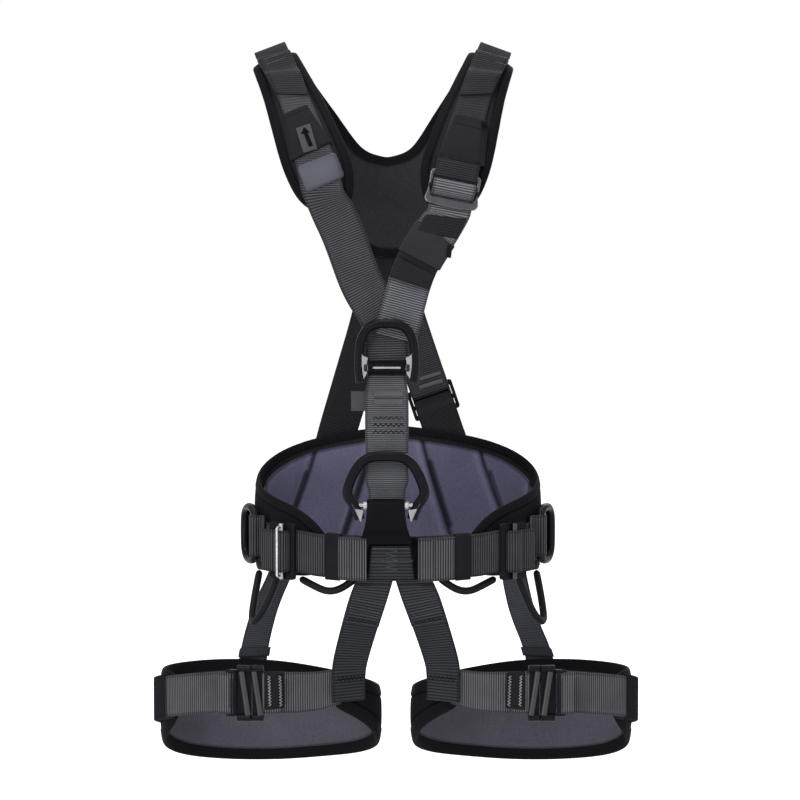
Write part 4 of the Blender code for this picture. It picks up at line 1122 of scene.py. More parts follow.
@dataclass
class Sleeve:
    """A band sewn round a stack of straps."""

    name: str
    line: StrapLine
    low: float
    high: float
    finish: Finish
    wall: float = 1.1 * MM
    room: float = 0.7 * MM

    def dress(self) -> Piece:
        """Loft the outer and inner walls, close the lips and hand the band to the frame."""
        line = self.line
        count = len(line.centre)
        verts: list = []
        for i in range(count):
            wide = np.linalg.norm(line.across[i])
            side, up = line.across[i] / wide, line.normal[i]
            lip = (0.35, 0.8)[min(i, count - 1 - i)] if min(i, count - 1 - i) < 2 else 1.0
            for wall, rounding in ((self.wall * lip, 1.9 * MM), (0.0, 0.9 * MM)):
                half = wide / 2 + self.room + wall
                for x, y in rounded_box(half, self.low - wall, self.high + wall, rounding, 4):
                    verts.append(line.centre[i] + side * x + up * y)
        ring = len(verts) // count // 2
        faces = []
        for i in range(count - 1):
            for j in range(ring):
                k = (j + 1) % ring
                for shift in (0, ring):
                    a, b = 2 * ring * i + shift, 2 * ring * (i + 1) + shift
                    faces.append((a + j, a + k, b + k, b + j))
        for i in (0, 2 * ring * (count - 1)):
            faces.extend((i + j, i + (j + 1) % ring, i + ring + (j + 1) % ring, i + ring + j)
                         for j in range(ring))
        piece = new_piece(self.name, verts, faces, self.finish)
        shares = np.tile(np.tile(np.linspace(0.1, 0.9, ring), 2), count)
        set_strap_map(piece.data, shares, np.repeat(line.run, 2 * ring) / MM)
        return place(piece, "harness", Slot.KEEPER)


# Pads


def swollen(piece: Piece, held: Array, cap: Array, pressure: float = 4.0, frames: int = 20) -> Piece:
    """Blow a pad up with Cloth, as its filling does, and keep the shape.

    Args:
        piece: A plain closed mesh.
        held: 1 on the points that are sewn down, 0 on the free ones.
        cap: The most that each point may move.
        pressure: Cloth's pressure.
        frames: Frames that it runs.

    Returns:
        The same piece without the modifier.
    """
    scene = bpy.context.scene
    sewn = piece.vertex_groups.new(name="sewn")
    sewn.add([int(i) for i in np.nonzero(held > 0.5)[0]], 1.0, "REPLACE")
    cloth = piece.modifiers.new("Filling", "CLOTH")
    cloth.settings.mass = 0.02
    cloth.settings.vertex_group_mass = "sewn"
    cloth.settings.use_pressure = True
    cloth.settings.uniform_pressure_force = pressure
    cloth.settings.effector_weights.gravity = 0.0
    cloth.collision_settings.use_collision = False
    cloth.point_cache.frame_start, cloth.point_cache.frame_end = 1, frames
    for step in range(1, frames + 1):
        scene.frame_set(step)
    start = points_of(piece.data)
    shift = points_of(piece.evaluated_get(bpy.context.evaluated_depsgraph_get()).data) - start
    piece.modifiers.clear()
    piece.vertex_groups.clear()
    scene.frame_set(1)
    long = np.linalg.norm(shift, axis=1) + 1e-9
    set_points(piece.data, start + shift * np.minimum(1.0, cap / long)[:, None])
    LOG.info("%s swells by up to %.1f mm", piece.name, min(long.max(), cap.max()) / MM)
    return piece


def level_seams(mesh: Mesh, values: Array, level: float) -> list[Array]:
    """Lines on a mesh along which a number of its points passes a level."""
    spots = points_of(mesh)
    crossed: dict = {}
    links: dict = {}
    for face in mesh.polygons:
        ring = list(face.vertices)
        cut = []
        for a, b in zip(ring, ring[1:] + ring[:1]):
            if (values[a] - level) * (values[b] - level) < 0:
                key = (min(a, b), max(a, b))
                share = (level - values[key[0]]) / (values[key[1]] - values[key[0]])
                crossed[key] = spots[key[0]] + (spots[key[1]] - spots[key[0]]) * share
                cut.append(key)
        if len(cut) == 2:
            links.setdefault(cut[0], []).append(cut[1])
            links.setdefault(cut[1], []).append(cut[0])
    seams = []
    while links:
        here = next((k for k, mates in links.items() if len(mates) == 1), next(iter(links)))
        path = []
        while here in links:
            mates = links.pop(here)
            path.append(crossed[here])
            here = next((m for m in mates if m in links), None)
        if len(path) > 8:
            seams.append(np.array(path))
    return seams


@dataclass
class Pad:
    """A bound foam pad that stands for a CAD cushion."""

    node: str
    finish: PadFinish
    inward: Callable[[Array], Array]
    body: str = "harness"
    slot: Slot = Slot.SHELL
    levels: int = 2
    tape_lift: float = 0.5 * MM
    groove: float = 0.9 * MM
    swell: float = 2.2 * MM
    contour: float = 0.0
    channels: Optional[Callable[[Array], Array]] = None
    stitched: bool = True
    fill: float = 0.7

    def build(self) -> Piece:
        """Subdivide and fill the cushion, then raise the binding and press the seams in."""
        shape = node_shape(self.node)
        rim = self.rim_tree(shape)
        to_quads(shape)
        piece = subdivided(shape_piece(self.node + "_cushion", shape, self.finish), self.levels)
        tape = self.finish.tape * MM
        away, inner, crease = self.measured(piece, rim)
        held = ((away < tape + 1 * MM) | (crease > 0.45)).astype(float)
        free = np.clip((away - tape) / (10 * MM), 0, 1) * (1 - np.clip(crease, 0, 1))
        swollen(piece, held, 0.05 * MM + free * np.where(inner > 0.1, self.swell, 0.25 * MM))
        subdivided(piece, 1)
        mesh = piece.data
        away, inner, crease = self.measured(piece, rim)
        seam = np.exp(-((away - tape - 0.6 * MM) / (1.1 * MM)) ** 2)
        lift = np.clip((tape - away) / (0.8 * MM), 0, 1) * self.tape_lift - seam * self.groove
        if self.contour:
            line = np.exp(-((away - self.contour) / (1.2 * MM)) ** 2) * (inner < 0.1)
            step = np.clip((away - self.contour) / (1.5 * MM), 0, 1)
            step = step * np.clip((self.contour * 2 - away) / (6 * MM), 0, 1)
            lift += (step * 0.5 * MM) * (inner < 0.1) - line * 0.7 * MM
            # The contour line also goes into the crease, which the material darkens as painted shade in its
            # groove.
            crease = np.maximum(crease, line)
        lift = lift - crease * 1.2 * MM * (inner > 0.1)
        set_points(mesh, points_of(mesh) + points_of(mesh, "normal") * np.asarray(lift)[:, None])
        set_numbers(mesh, rim=away / MM, inner=np.clip(0.5 + inner * 2, 0, 1), crease=crease)
        return piece

    def measured(self, piece: Piece, rim: KDTree) -> tuple[Array, Array, Array]:
        """Distance to the rim, how far each point faces the wearer, and its nearness to a channel."""
        spots = points_of(piece.data)
        away = np.array([rim.find(p)[2] for p in spots])
        inner = (points_of(piece.data, "normal") * self.inward(spots)).sum(1)
        crease = self.channels(spots) if self.channels else np.zeros(len(spots))
        return away, inner, crease

    @staticmethod
    def rim_tree(shape: Shape) -> KDTree:
        """Points along the cushion's sharp rim."""
        points = []
        for edge in shape.edges:
            if edge.calc_face_angle(0.0) > math.radians(55):
                a, b = (v.co for v in edge.verts)
                steps = max(1, int((b - a).length / (1 * MM)))
                points.extend(a.lerp(b, i / steps) for i in range(steps))
        tree = KDTree(len(points))
        for i, point in enumerate(points):
            tree.insert(point, i)
        tree.balance()
        return tree

    def dress(self) -> Piece:
        """Build the pad, hand it to the frame and sew its binding on."""
        piece = place(self.build(), self.body, self.slot, [self.node], self.fill)
        if self.stitched:
            rim = np.zeros(len(piece.data.vertices), dtype=np.float32)
            piece.data.attributes["rim"].data.foreach_get("value", rim)
            seams = level_seams(piece.data, rim, self.finish.tape - 1.9)
            STITCHES.sew(self.node + "_binding_stitches", seams, THREAD_DARK, 3.2 * MM, 2.3 * MM, 0.26 * MM,
                         body=self.body, slot=self.slot)
        return piece


def toward_axis(centre: Sequence[float]) -> Callable[[Array], Array]:
    """Directions that point level to an upright axis."""
    middle = np.array([centre[0], centre[1]])

    def inward(spots: Array) -> Array:
        """Unit directions to the axis."""
        flat = middle - spots[:, :2]
        return unit(np.column_stack([flat, np.zeros(len(flat))]))

    return inward


def toward_shoulders(spots: Array) -> Array:
    """Directions from the yoke to the wearer's shoulders and back."""
    core = np.column_stack([spots[:, 0] * 0.8, np.zeros(len(spots)), np.full(len(spots), 0.38)])
    return unit(core - spots)


@dataclass(frozen=True)
class WaistOval:
    """The belt's line: an oval whose height follows its depth; angles run from the back in degrees."""

    centre_x: float = 2 * MM
    half_width: float = 147 * MM
    half_depth: float = 100 * MM
    tilt: float = 0.15
    inset: float = 12 * MM
    edge: tuple[tuple[float, float, float], ...] = (
        (0, 89, -79), (45, 77, -66), (75, 64, -50), (90, 57, -42), (105, 52, -35),
        (120, 48, -31), (136, 42, -28), (147, 27, -23), (153, 9, -10))
    grooves: tuple[tuple[float, float], ...] = ((11, 30), (40, 70), (84, 100))

    def point(self, angle: float, out: float, up: float) -> Array:
        """A point so far outside the line and so far above it."""
        s, c = math.sin(math.radians(angle)), math.cos(math.radians(angle))
        away = unit(np.array([s / self.half_width, c / self.half_depth]))
        x, y = self.half_width * s + away[0] * out, self.half_depth * c + away[1] * out
        return np.array([self.centre_x + x, y, self.tilt * y + up])

    def line(self, start: float, end: float, out: float, width: float, up: float = 0.0) -> StrapLine:
        """A belt layer between two angles."""
        angles = np.linspace(start, end, max(4, int(abs(end - start)) + 1))
        centre = np.array([self.point(a, out, up) for a in angles])
        normal = unit(np.array([self.point(a, out + MM, up) - self.point(a, out, up) for a in angles]))
        return StrapLine(centre, np.tile([0.0, 0.0, width], (len(angles), 1)), normal)

    def creases(self, spots: Array) -> Array:
        """1 on the sewn channels of the lining, darkened as painted shade, less than 0 on the ridge at the
        left of each, lightened as a painted highlight.
        """
        x, y = spots[:, 0] - self.centre_x, spots[:, 1]
        angle = np.degrees(np.arctan2(x / self.half_width, y / self.half_depth))
        table = np.array(self.edge, dtype=float)
        top, low = (np.interp(abs(angle), table[:, 0], table[:, k]) * MM for k in (1, 2))
        up = spots[:, 2] - self.tilt * y
        share = (up - low - self.inset) / (top - low - 2 * self.inset)
        speed = np.hypot(self.half_width * np.cos(np.radians(angle)),
                         self.half_depth * np.sin(np.radians(angle)))
        crease = np.zeros(len(spots))
        for high, bottom in self.grooves:
            for sign in (-1, 1):
                off = (angle - sign * (bottom + (high - bottom) * share)) * math.pi / 180 * speed
                # The groove is painted shade; the dip 8 mm to its left marks a ridge painted lighter as a
                # highlight.
                groove = np.exp(-(off / (3 * MM)) ** 2) - 0.35 * np.exp(-((off + 8 * MM) / (4 * MM)) ** 2)
                crease = np.where(abs(groove) > abs(crease), groove, crease)
        return crease


WAIST = WaistOval()


# Hardware


@dataclass
class Plate:
    """Place of a flat part: its centre, its width and length directions and its face normal."""

    centre: Vector
    across: Vector
    along: Vector
    normal: Vector

    @classmethod
    def of_node(cls, node: str, ahead: Sequence[float], front: Sequence[float] = FRONT) -> "Plate":
        """Read a flat CAD part: its largest face gives the normal and that face's longest edge the width.

        Args:
            node: Name of the CAD part.
            ahead: Direction that the length points to.
            front: Direction that the face looks to.

        Returns:
            Its place.
        """
        shape = node_shape(node)
        to_flats(shape)
        face = max(shape.faces, key=lambda f: f.calc_area())
        normal = face.normal.copy()
        edge = max(face.edges, key=lambda e: e.calc_length())
        across = (edge.verts[1].co - edge.verts[0].co).normalized()
        along = normal.cross(across).normalized()
        normal = normal if normal.dot(Vector(front)) > 0 else -normal
        along = along if along.dot(Vector(ahead)) > 0 else -along
        across = along.cross(normal)
        turn = Matrix((across, along, normal))
        rows = [turn @ v.co for v in shape.verts]
        shape.free()
        middle = Vector([(min(r[k] for r in rows) + max(r[k] for r in rows)) / 2 for k in range(3)])
        return cls(turn.transposed() @ middle, across, along, normal)

    @property
    def matrix(self) -> Matrix:
        """Matrix from the part's own plane into the scene."""
        turn = Matrix((self.across, self.along, self.normal)).transposed().to_4x4()
        return Matrix.Translation(self.centre) @ turn

    def put(self, x: float, y: float, z: float = 0.0) -> Vector:
        """A point of the part's own plane, in millimetres, in the scene."""
        return self.matrix @ (Vector((x, y, z)) * MM)


def mirrored(half: Sequence[Spot]) -> list[Spot]:
    """A closed outline from its right half, listed from the top to the bottom."""
    points = [tuple(p) for p in curve_through(np.array([(x, y, 0.0) for x, y in half]), 4 * len(half))[:, :2]]
    return points + [(-x, y) for x, y in reversed(points) if abs(x) > 0.05]


def flat_piece(name: str, plate: Plate, outlines: Sequence[Sequence[Spot]], thickness: float, finish: Finish,
               rounding: float = 0.8 * MM) -> Piece:
    """A flat part with rounded edges, cut to outlines.

    Args:
        name: Name of the new piece.
        plate: Where it lies.
        outlines: The outer outline and its openings, in millimetres.
        thickness: Its whole thickness.
        finish: Its finish.
        rounding: Radius of its edges.

    Returns:
        A plain closed mesh piece.
    """
    curve = bpy.data.curves.new(name, "CURVE")
    curve.dimensions = "2D"
    curve.fill_mode = "BOTH"
    curve.extrude = thickness / 2 - rounding
    curve.bevel_depth = rounding
    curve.bevel_resolution = 2
    curve.offset = -rounding
    for outline in outlines:
        spline = curve.splines.new("POLY")
        spline.points.add(len(outline) - 1)
        for point, (x, y) in zip(spline.points, outline):
            point.co = (x * MM, y * MM, 0.0, 1.0)
        spline.use_cyclic_u = True
    holder = in_scene(name + "_outline", curve)
    bpy.context.view_layer.update()
    mesh = bpy.data.meshes.new_from_object(holder.evaluated_get(bpy.context.evaluated_depsgraph_get()))
    bpy.data.objects.remove(holder)
    bpy.data.curves.remove(curve)
    mesh.transform(plate.matrix)
    mesh.name = name
    turned_out(mesh, 2e-6)
    return true_shaded(linked(name, mesh, finish))


def add_rod(name: str, ends: tuple[Vector, Vector], radius: float, finish: Finish, body: str,
            slot: Slot = Slot.BUCKLE, sides: int = 20) -> Piece:
    """Add a round bar with softened ends.

    Args:
        name: Name of the new piece.
        ends: Its two ends.
        radius: Half its thickness.
        finish: Its finish.
        body: CAD body that it rides on.
        slot: Record slot of its finish.
        sides: Number of its sides.

    Returns:
        The placed piece.
    """
    a, b = (np.array(end) for end in ends)
    long = float(np.linalg.norm(b - a))
    axis = (b - a) / long
    first = unit(np.cross(axis, np.array([0.3, 0.5, 0.8])))
    second = np.cross(axis, first)
    edge = min(0.9 * MM, radius * 0.5)
    profile = [(0.0, radius - edge), (0.3 * edge, radius - 0.3 * edge), (edge, radius)]
    profile += [(long - d, r) for d, r in reversed(profile)]
    verts = [a + axis * d + r * (math.cos(t) * first + math.sin(t) * second)
             for d, r in profile for t in np.linspace(0, 2 * math.pi, sides, endpoint=False)]
    piece = true_shaded(new_piece(name, verts, capped(len(profile), sides), finish))
    return place(piece, body, slot)


def hinge_of(body: str) -> tuple[Vector, Vector]:
    """A point on the hinge that a body turns on, and the hinge's direction."""
    joint = next(j for j in frame["record"]["behaviour"]["joints"] if j["child"] == body)
    return Vector(joint["pos_m"]), Vector(joint["axis"]).normalized()


@dataclass
class RoundRod:
    """A ring or tube that stands for an eight-sided CAD rod, fuller away from the bar it turns on."""

    node: str
    body: str
    finish: Finish
    slot: Slot
    fuller: float = 0.0
    skin: float = 0.28 * MM
    near: float = 6 * MM
    fade: float = 9 * MM

    def dress(self) -> Piece:
        """Round the rod and hand it to the frame."""
        shape = node_shape(self.node)
        to_quads(shape)
        hinge, axis = hinge_of(self.body)
        for vert in shape.verts:
            vert.normal_update()
        for vert in shape.verts:
            arm = vert.co - hinge
            reach = (arm - axis * arm.dot(axis)).length
            share = min(1.0, max(0.0, (reach - self.near) / self.fade))
            vert.co += vert.normal * (self.skin + self.fuller * share)
        piece = subdivided(shape_piece(self.node + "_rod", shape, self.finish), 2)
        return place(piece, self.body, self.slot, [self.node])


@dataclass
class HardPart:
    """A buckle, bar, pin or keeper: the CAD solid with softened edges."""

    node: str
    body: str
    finish: Finish
    slot: Slot
    edge: float = 0.7 * MM

    def dress(self) -> Piece:
        """Soften the edges and hand the part to the frame."""
        shape = node_shape(self.node)
        to_flats(shape)
        piece = bevelled(shape_piece(self.node + "_part", shape, self.finish), self.edge)
        return place(piece, self.body, self.slot, [self.node])


@dataclass
class ForgedBow:
    """A forged front ring: a faceted bow, with bright lugs and black collars beside the pin."""

    node: str
    centre: Vector
    half: Sequence[Spot]
    lug: Sequence[Spot]
    lug_depth: float
    collar: tuple[float, float, float]
    lean: float = math.radians(4)
    width: float = 10.2 * MM
    depth: float = 8.6 * MM

    def section(self) -> list[Spot]:
        """Eight-cornered section: across the band, then front to back."""
        a, b, cut = self.width / 2, self.depth / 2, 2.4 * MM
        return [(a, b - cut), (a - cut, b), (cut - a, b), (-a, b - cut),
                (-a, cut - b), (cut - a, -b), (a - cut, -b), (a, cut - b)]

    def dress(self) -> None:
        """Build the bow, its lugs and its collars."""
        path = [(x * MM, z * MM) for x, z in self.half]
        path += [(-x, z) for x, z in reversed(path)]
        line = curve_through(np.array([(x, 0, z) for x, z in path]), 90)
        ahead = unit(np.gradient(line, axis=0))
        out = np.column_stack([ahead[:, 2], np.zeros(len(line)), -ahead[:, 0]])
        section = self.section()
        verts = [line[i] + out[i] * a + np.array([0, b, 0]) for i in range(len(line)) for a, b in section]
        piece = new_piece(self.node + "_bow", verts, capped(len(line), len(section)), RING_BLACK)
        turn = Matrix.Rotation(self.lean, 4, "X")
        piece.data.transform(Matrix.Translation(self.centre) @ turn)
        bevelled(piece, 0.6 * MM, 2, 25)
        place(piece, self.node, Slot.RING, [self.node])
        plate = Plate(self.centre, Vector((1, 0, 0)), turn @ Vector((0, 0, 1)), turn @ Vector((0, -1, 0)))
        start, end, radius = self.collar
        for side in Side:
            outline = [(side.sign * x, y) for x, y in self.lug]
            lug = flat_piece(f"{self.node}_lug_{side.value}", plate, [outline], self.lug_depth, LUG_STEEL,
                             0.7 * MM)
            place(lug, self.node, Slot.PIN)
            if radius:
                ends = (plate.put(side.sign * start, 0), plate.put(side.sign * end, 0))
                add_rod(f"{self.node}_collar_{side.value}", ends, radius * MM, RING_BLACK, self.node,
                        Slot.RING)


# Sub-assemblies


@dataclass
class Shoulders:
    """Yoke pad, webbing loops, chest straps and their adjuster."""

    panel_left: Outline = ((281, 115), (306.5, 104.5), (331.5, 142.5), (290.5, 162))
    panel_right: Outline = ((456, 114), (488.5, 121), (484.5, 167), (436, 159))
    patch: Outline = ((296.7, 166.7), (335, 151.7), (345, 176.7), (306.7, 193.3))
    label: Outline = ((295.8, 128.3), (310, 123.3), (317.5, 149.2), (303.3, 153))
    arrow_head: Outline = ((303.7, 127.7), (304.9, 127.3), (310, 132.5), (300.8, 134.2))
    arrow_shaft: Outline = ((303.8, 133.6), (307.6, 132.7), (313.2, 145.6), (309, 147))
    frame_half: Outline = ((0, 16.5), (18, 16.5), (23, 16.2), (25.4, 14.2), (25.7, 10), (25.7, -6),
                                    (26.8, -11), (26.9, -15), (24, -18), (12, -20), (0, -20.6))
    fold: Outline = ((426, 214), (467, 219), (458, 239), (416, 231))
    clip: Outline = ((447.5, 244), (452.5, 245.5), (451, 258.5), (446, 257))
    panel_seams: tuple[Outline, ...] = (((283, 118), (306, 108.5)), ((456.5, 123), (483, 129.5)))
    patch_seam: Outline = ((299, 168.5), (334.5, 154.5), (342.5, 176), (308.5, 190.5), (299, 168.5))
    cover_seam: Outline = ((440, 156), (474, 163))
    loop_seams: tuple[Outline, ...] = (((266, 59), (283, 52.5)), ((268, 64), (285, 57.5)),
                                                ((496, 62), (512, 67)))
    keeper_z: tuple[float, float] = (313 * MM, 286.5 * MM)
    tail_z: tuple[float, float] = (294 * MM, 266 * MM)

    def dress(self) -> None:
        """Build the shoulder and chest pieces."""
        yoke = Pad("yoke_pad", YOKE_PAD, toward_shoulders, contour=17 * MM).dress()
        loops = [Strap.of("shoulder_loops_" + side.value, WEB_LOOP).dress() for side in Side]
        left = Strap.of("chest_strap_left", WEB_CHEST).dress()
        right = Strap.of("chest_strap_right", WEB_LOOP).dress()
        lower = Strap.of("chest_strap_lower", WEB_LIT)
        strap = lower.dress()
        self.panels(yoke, loops, left, right)
        self.adjuster()
        self.tail(strap, lower.line)

    def panels(self, yoke: Piece, loops: Sequence[Piece], left: Piece, right: Piece) -> None:
        """Sew the cover panels, the bare label with its arrow and the patch on the yoke."""
        under = Carrier(yoke, left)
        panel = Overlay("cover_panel_left", self.panel_left, PANEL_CLOTH, under, 1.3 * MM, 2.0,
                        0.9 * MM).dress()
        label = Overlay("arrow_label", self.label, LABEL_TAPE, Carrier(panel, yoke, left), 0.5 * MM,
                        1.0).dress()
        ink = Carrier(label)
        for name, corners in (("head", self.arrow_head), ("shaft", self.arrow_shaft)):
            Overlay("arrow_" + name, corners, BLACK_CLOTH, ink, 0.25 * MM, step=0.8).dress()
        patch = Overlay("shoulder_patch", self.patch, PATCH_FILM, under, 1.1 * MM, 4.5).dress()
        cover = Overlay("cover_panel_right", self.panel_right, PANEL_CLOTH, Carrier(yoke, right), 1.3 * MM,
                        2.0, 0.9 * MM).dress()
        dark = [Carrier(piece).line(seam) for piece, seam in zip((panel, cover), self.panel_seams)]
        STITCHES.sew("panel_stitches", dark, THREAD_BLACK, radius=0.4 * MM, slot=Slot.SHELL)
        edge = [Carrier(patch).line(self.patch_seam), Carrier(cover).line(self.cover_seam)]
        STITCHES.sew("patch_stitches", edge, THREAD_GREY, 2.6 * MM, 1.9 * MM, 0.24 * MM, slot=Slot.SHELL)
        top = Carrier(yoke, *loops)
        light = [top.line(seam) for seam in self.loop_seams]
        STITCHES.sew("loop_stitches", light, THREAD_LIGHT, radius=0.4 * MM)

    def adjuster(self) -> None:
        """Cut the chest adjuster's frame with its bowed lower bar."""
        plate = Plate.of_node("chest_adjuster_frame", (0, 0, 1))
        outlines = [mirrored(self.frame_half), rounded_box(22.1, -11.5, 11.5, 2.0, 5)]
        piece = flat_piece("chest_adjuster_plate", plate, outlines, 4 * MM, BUCKLE_GREY, 1.2 * MM)
        place(piece, "harness", Slot.BUCKLE, ["chest_adjuster_frame"])
        HardPart("chest_adjuster_bar", "chest_adjuster_bar", BUCKLE_BLACK, Slot.BUCKLE).dress()

    def tail(self, strap: Piece, lower: StrapLine) -> None:
        """Sew the keeper band round the lower strap and roll the tail's end."""
        load = lower.part(lower.run[-1] / 2, lower.run[-1]).facing()
        high, low = (load.at_height(z) for z in self.keeper_z)
        band = Sleeve("chest_keeper", load.part(high, low), -1.7 * MM, 4.5 * MM, KEEPER_BAND).dress()
        first, last = (load.at_height(z) for z in self.tail_z)
        Strap("chest_tail_end", WEB_TAIL, load.part(first, last, 2.7 * MM).folded(2.1 * MM, 17 * MM)).dress()
        fold = Overlay("chest_tail_fold", self.fold, WEB_TAIL, Carrier(strap), 2.2 * MM, 2.0)
        fold.dress(slot=Slot.WEBBING)
        Overlay("chest_keeper_clip", self.clip, BUCKLE_BLACK, Carrier(band), 1.8 * MM, 1.5,
                step=0.8).dress(slot=Slot.BUCKLE)


@dataclass
class FrontColumn:
    """Breastbone and belly rings, the straps between them and the sewn junction."""

    sternal: Vector = field(default_factory=lambda: Vector((-9, -127, 179)) * MM)
    ventral: Vector = field(default_factory=lambda: Vector((-10, -127.4, 40)) * MM)
    sternal_lug: Outline = ((25.8, 18), (25.6, 4), (23.4, -11), (22.6, -10.5), (19.6, -5.2), (19.6, 7),
                                     (18.8, 10), (24, 12.5))
    sternal_half: Outline = ((26.6, -15), (27.6, -6), (27.8, 8), (27.2, 20), (24.6, 31), (18.8, 39.5),
                                      (10, 43.6), (3, 44.2))
    ventral_lug: Outline = ((35.2, 4.7), (34, 1.7), (25.2, -16.2), (22.6, -3.9), (31, -2.6))
    ventral_half: Outline = ((26.4, -14), (28.4, -7), (32.4, 1), (38.4, 11), (36.4, 23), (26.4, 42),
                                      (16.4, 49), (7, 50))
    bar_sides: Spot = (373.5, 404)
    bar_tops: Spot = (391, 399)
    bar_height: float = 6.0
    zigzag_sides: Spot = (373, 404)
    zigzag_rows: tuple[float, ...] = (418, 425, 432)
    flag_z: float = 145 * MM
    flag_width: float = 20 * MM
    ends: Outline = ((371, 546), (411, 546), (415, 579), (367, 579))
    end_seams: tuple[Outline, ...] = (((373, 548.5), (408, 548.5)), ((372, 561), (413, 561)))
    end_tack: tuple[Spot, Spot] = ((391.5, 549), (391.5, 572))

    def dress(self) -> None:
        """Build the front pieces."""
        ForgedBow("sternal_ring", self.sternal, self.sternal_half, self.sternal_lug, 7.2 * MM,
                  (19.4, 23, 5.2), width=9 * MM).dress()
        ForgedBow("ventral_ring", self.ventral, self.ventral_half, self.ventral_lug, 9.4 * MM,
                  (0, 0, 0)).dress()
        for node in ("sternal_ring", "ventral_ring"):
            HardPart(node + "_pin", node, STEEL, Slot.PIN, 0.4 * MM).dress()
        HardPart("sternal_sleeve", "harness", SLEEVE_CLOTH, Slot.SHELL, 0.5 * MM).dress()
        strap = Strap.of("sternum_strap", WEB_STERNUM)
        self.sternum(strap.dress(), strap.line.facing())
        Strap.of("belly_loop", SLEEVE_CLOTH, slot=Slot.SHELL).dress()
        self.junction()

    def sternum(self, strap: Piece, line: StrapLine) -> None:
        """Sew the bars, the zig-zags and the bare flag label on the sternum strap."""
        under = Carrier(strap)
        left, right = self.bar_sides
        for i, top in enumerate(self.bar_tops):
            low = top + self.bar_height
            corners = ((left, top), (right, top), (right, low), (left, low))
            bar = Overlay(f"sternum_bar_{i}", corners, BAR_CLOTH, under, 1.6 * MM, 1.5)
            bar.dress(slot=Slot.WEBBING)
        left, right = self.zigzag_sides
        rows = [under.line(zigzag((left, v), (right, v), 1.5, 2.6)) for v in self.zigzag_rows]
        STITCHES.sew("sternum_zigzag", rows, THREAD_BLACK, radius=0.42 * MM, running=True)
        run = line.at_height(self.flag_z)
        spot = line.part(run, run + 4 * MM)
        side = spot.across[0] * math.copysign(1.0, -spot.across[0][0])
        base = spot.centre[0] - spot.normal[0] * 1.8 * MM
        path = np.array([base + shift for shift in (side * 0.36, side * 0.5, unit(side) * 30 * MM,
                                                    unit(side) * 36 * MM)])
        flag = StrapLine(path, np.tile([0.0, 0.0, self.flag_width], (4, 1)), np.tile(spot.normal[0], (4, 1)))
        Strap("sternum_flag", LABEL_TAPE, flag, slot=Slot.SHELL, thickness=0.8 * MM).dress()

    def junction(self) -> None:
        """Cover the sewn junction with the ends of the leg straps and their stitching."""
        shape = node_shape("crotch_junction")
        to_quads(shape)
        base = bevelled(shape_piece("crotch_junction_web", shape, BLACK_CLOTH), 0.8 * MM)
        place(base, "harness", Slot.WEBBING, ["crotch_junction"])
        ends = Overlay("junction_ends", self.ends, WEB_STRAP, Carrier(base), 1.5 * MM, 1.5)
        over = Carrier(ends.dress(slot=Slot.WEBBING))
        light = [over.line(seam) for seam in self.end_seams]
        STITCHES.sew("junction_stitches", light, THREAD_LIGHT, radius=0.42 * MM)
        tack = [over.line(zigzag(*self.end_tack, 6.0, 2.4))]
        STITCHES.sew("junction_zigzag", tack, THREAD_GREY, radius=0.36 * MM, running=True)


@dataclass
class BackStraps:
    """Spine strap, back straps, their adjuster and the dorsal ring."""

    width: float = 43 * MM
    tail: Outline = ((24, 6.2), (17, 6.2), (11, 6.8), (6, 9.4), (1, 11.7), (-4, 11.7), (-9, 9.6))
    tacks: tuple[Outline, ...] = (((419.5, 377.5), (440, 371), (441, 374.5), (420.5, 381)),
                                           ((418.5, 386), (442.5, 378.5), (443.5, 382), (419.5, 389.5)))

    def dress(self) -> None:
        """Build the back pieces."""
        for node in ("spine_strap", "back_strap_left", "back_strap_lower", "dorsal_holder"):
            Strap.of(node, WEB_BACK).dress()
        right = Strap.of("back_strap_right", WEB_BACK_LIT).dress()
        under = Carrier(right)
        for i, corners in enumerate(self.tacks):
            Overlay(f"back_tack_{i}", corners, BAR_CLOTH, under, 0.9 * MM, 1.2).dress(slot=Slot.WEBBING)
        HardPart("back_adjuster_frame", "harness", BUCKLE_BLACK, Slot.BUCKLE, 0.9 * MM).dress()
        plate = Plate.of_node("back_adjuster_frame", (0, 0, 1), (0, 1, 0))
        path = np.array([tuple(plate.put(0, y, z)) for y, z in self.tail])
        cover = StrapLine(path, np.tile(np.array(plate.across) * self.width, (len(path), 1)),
                          np.tile(np.array(plate.normal), (len(path), 1)))
        Strap("back_tail", WEB_BACK, cover).dress()
        HardPart("back_adjuster_bar", "back_adjuster_bar", BUCKLE_BLACK, Slot.BUCKLE).dress()
        RoundRod("dorsal_ring", "dorsal_ring", RING_BLACK, Slot.RING).dress()


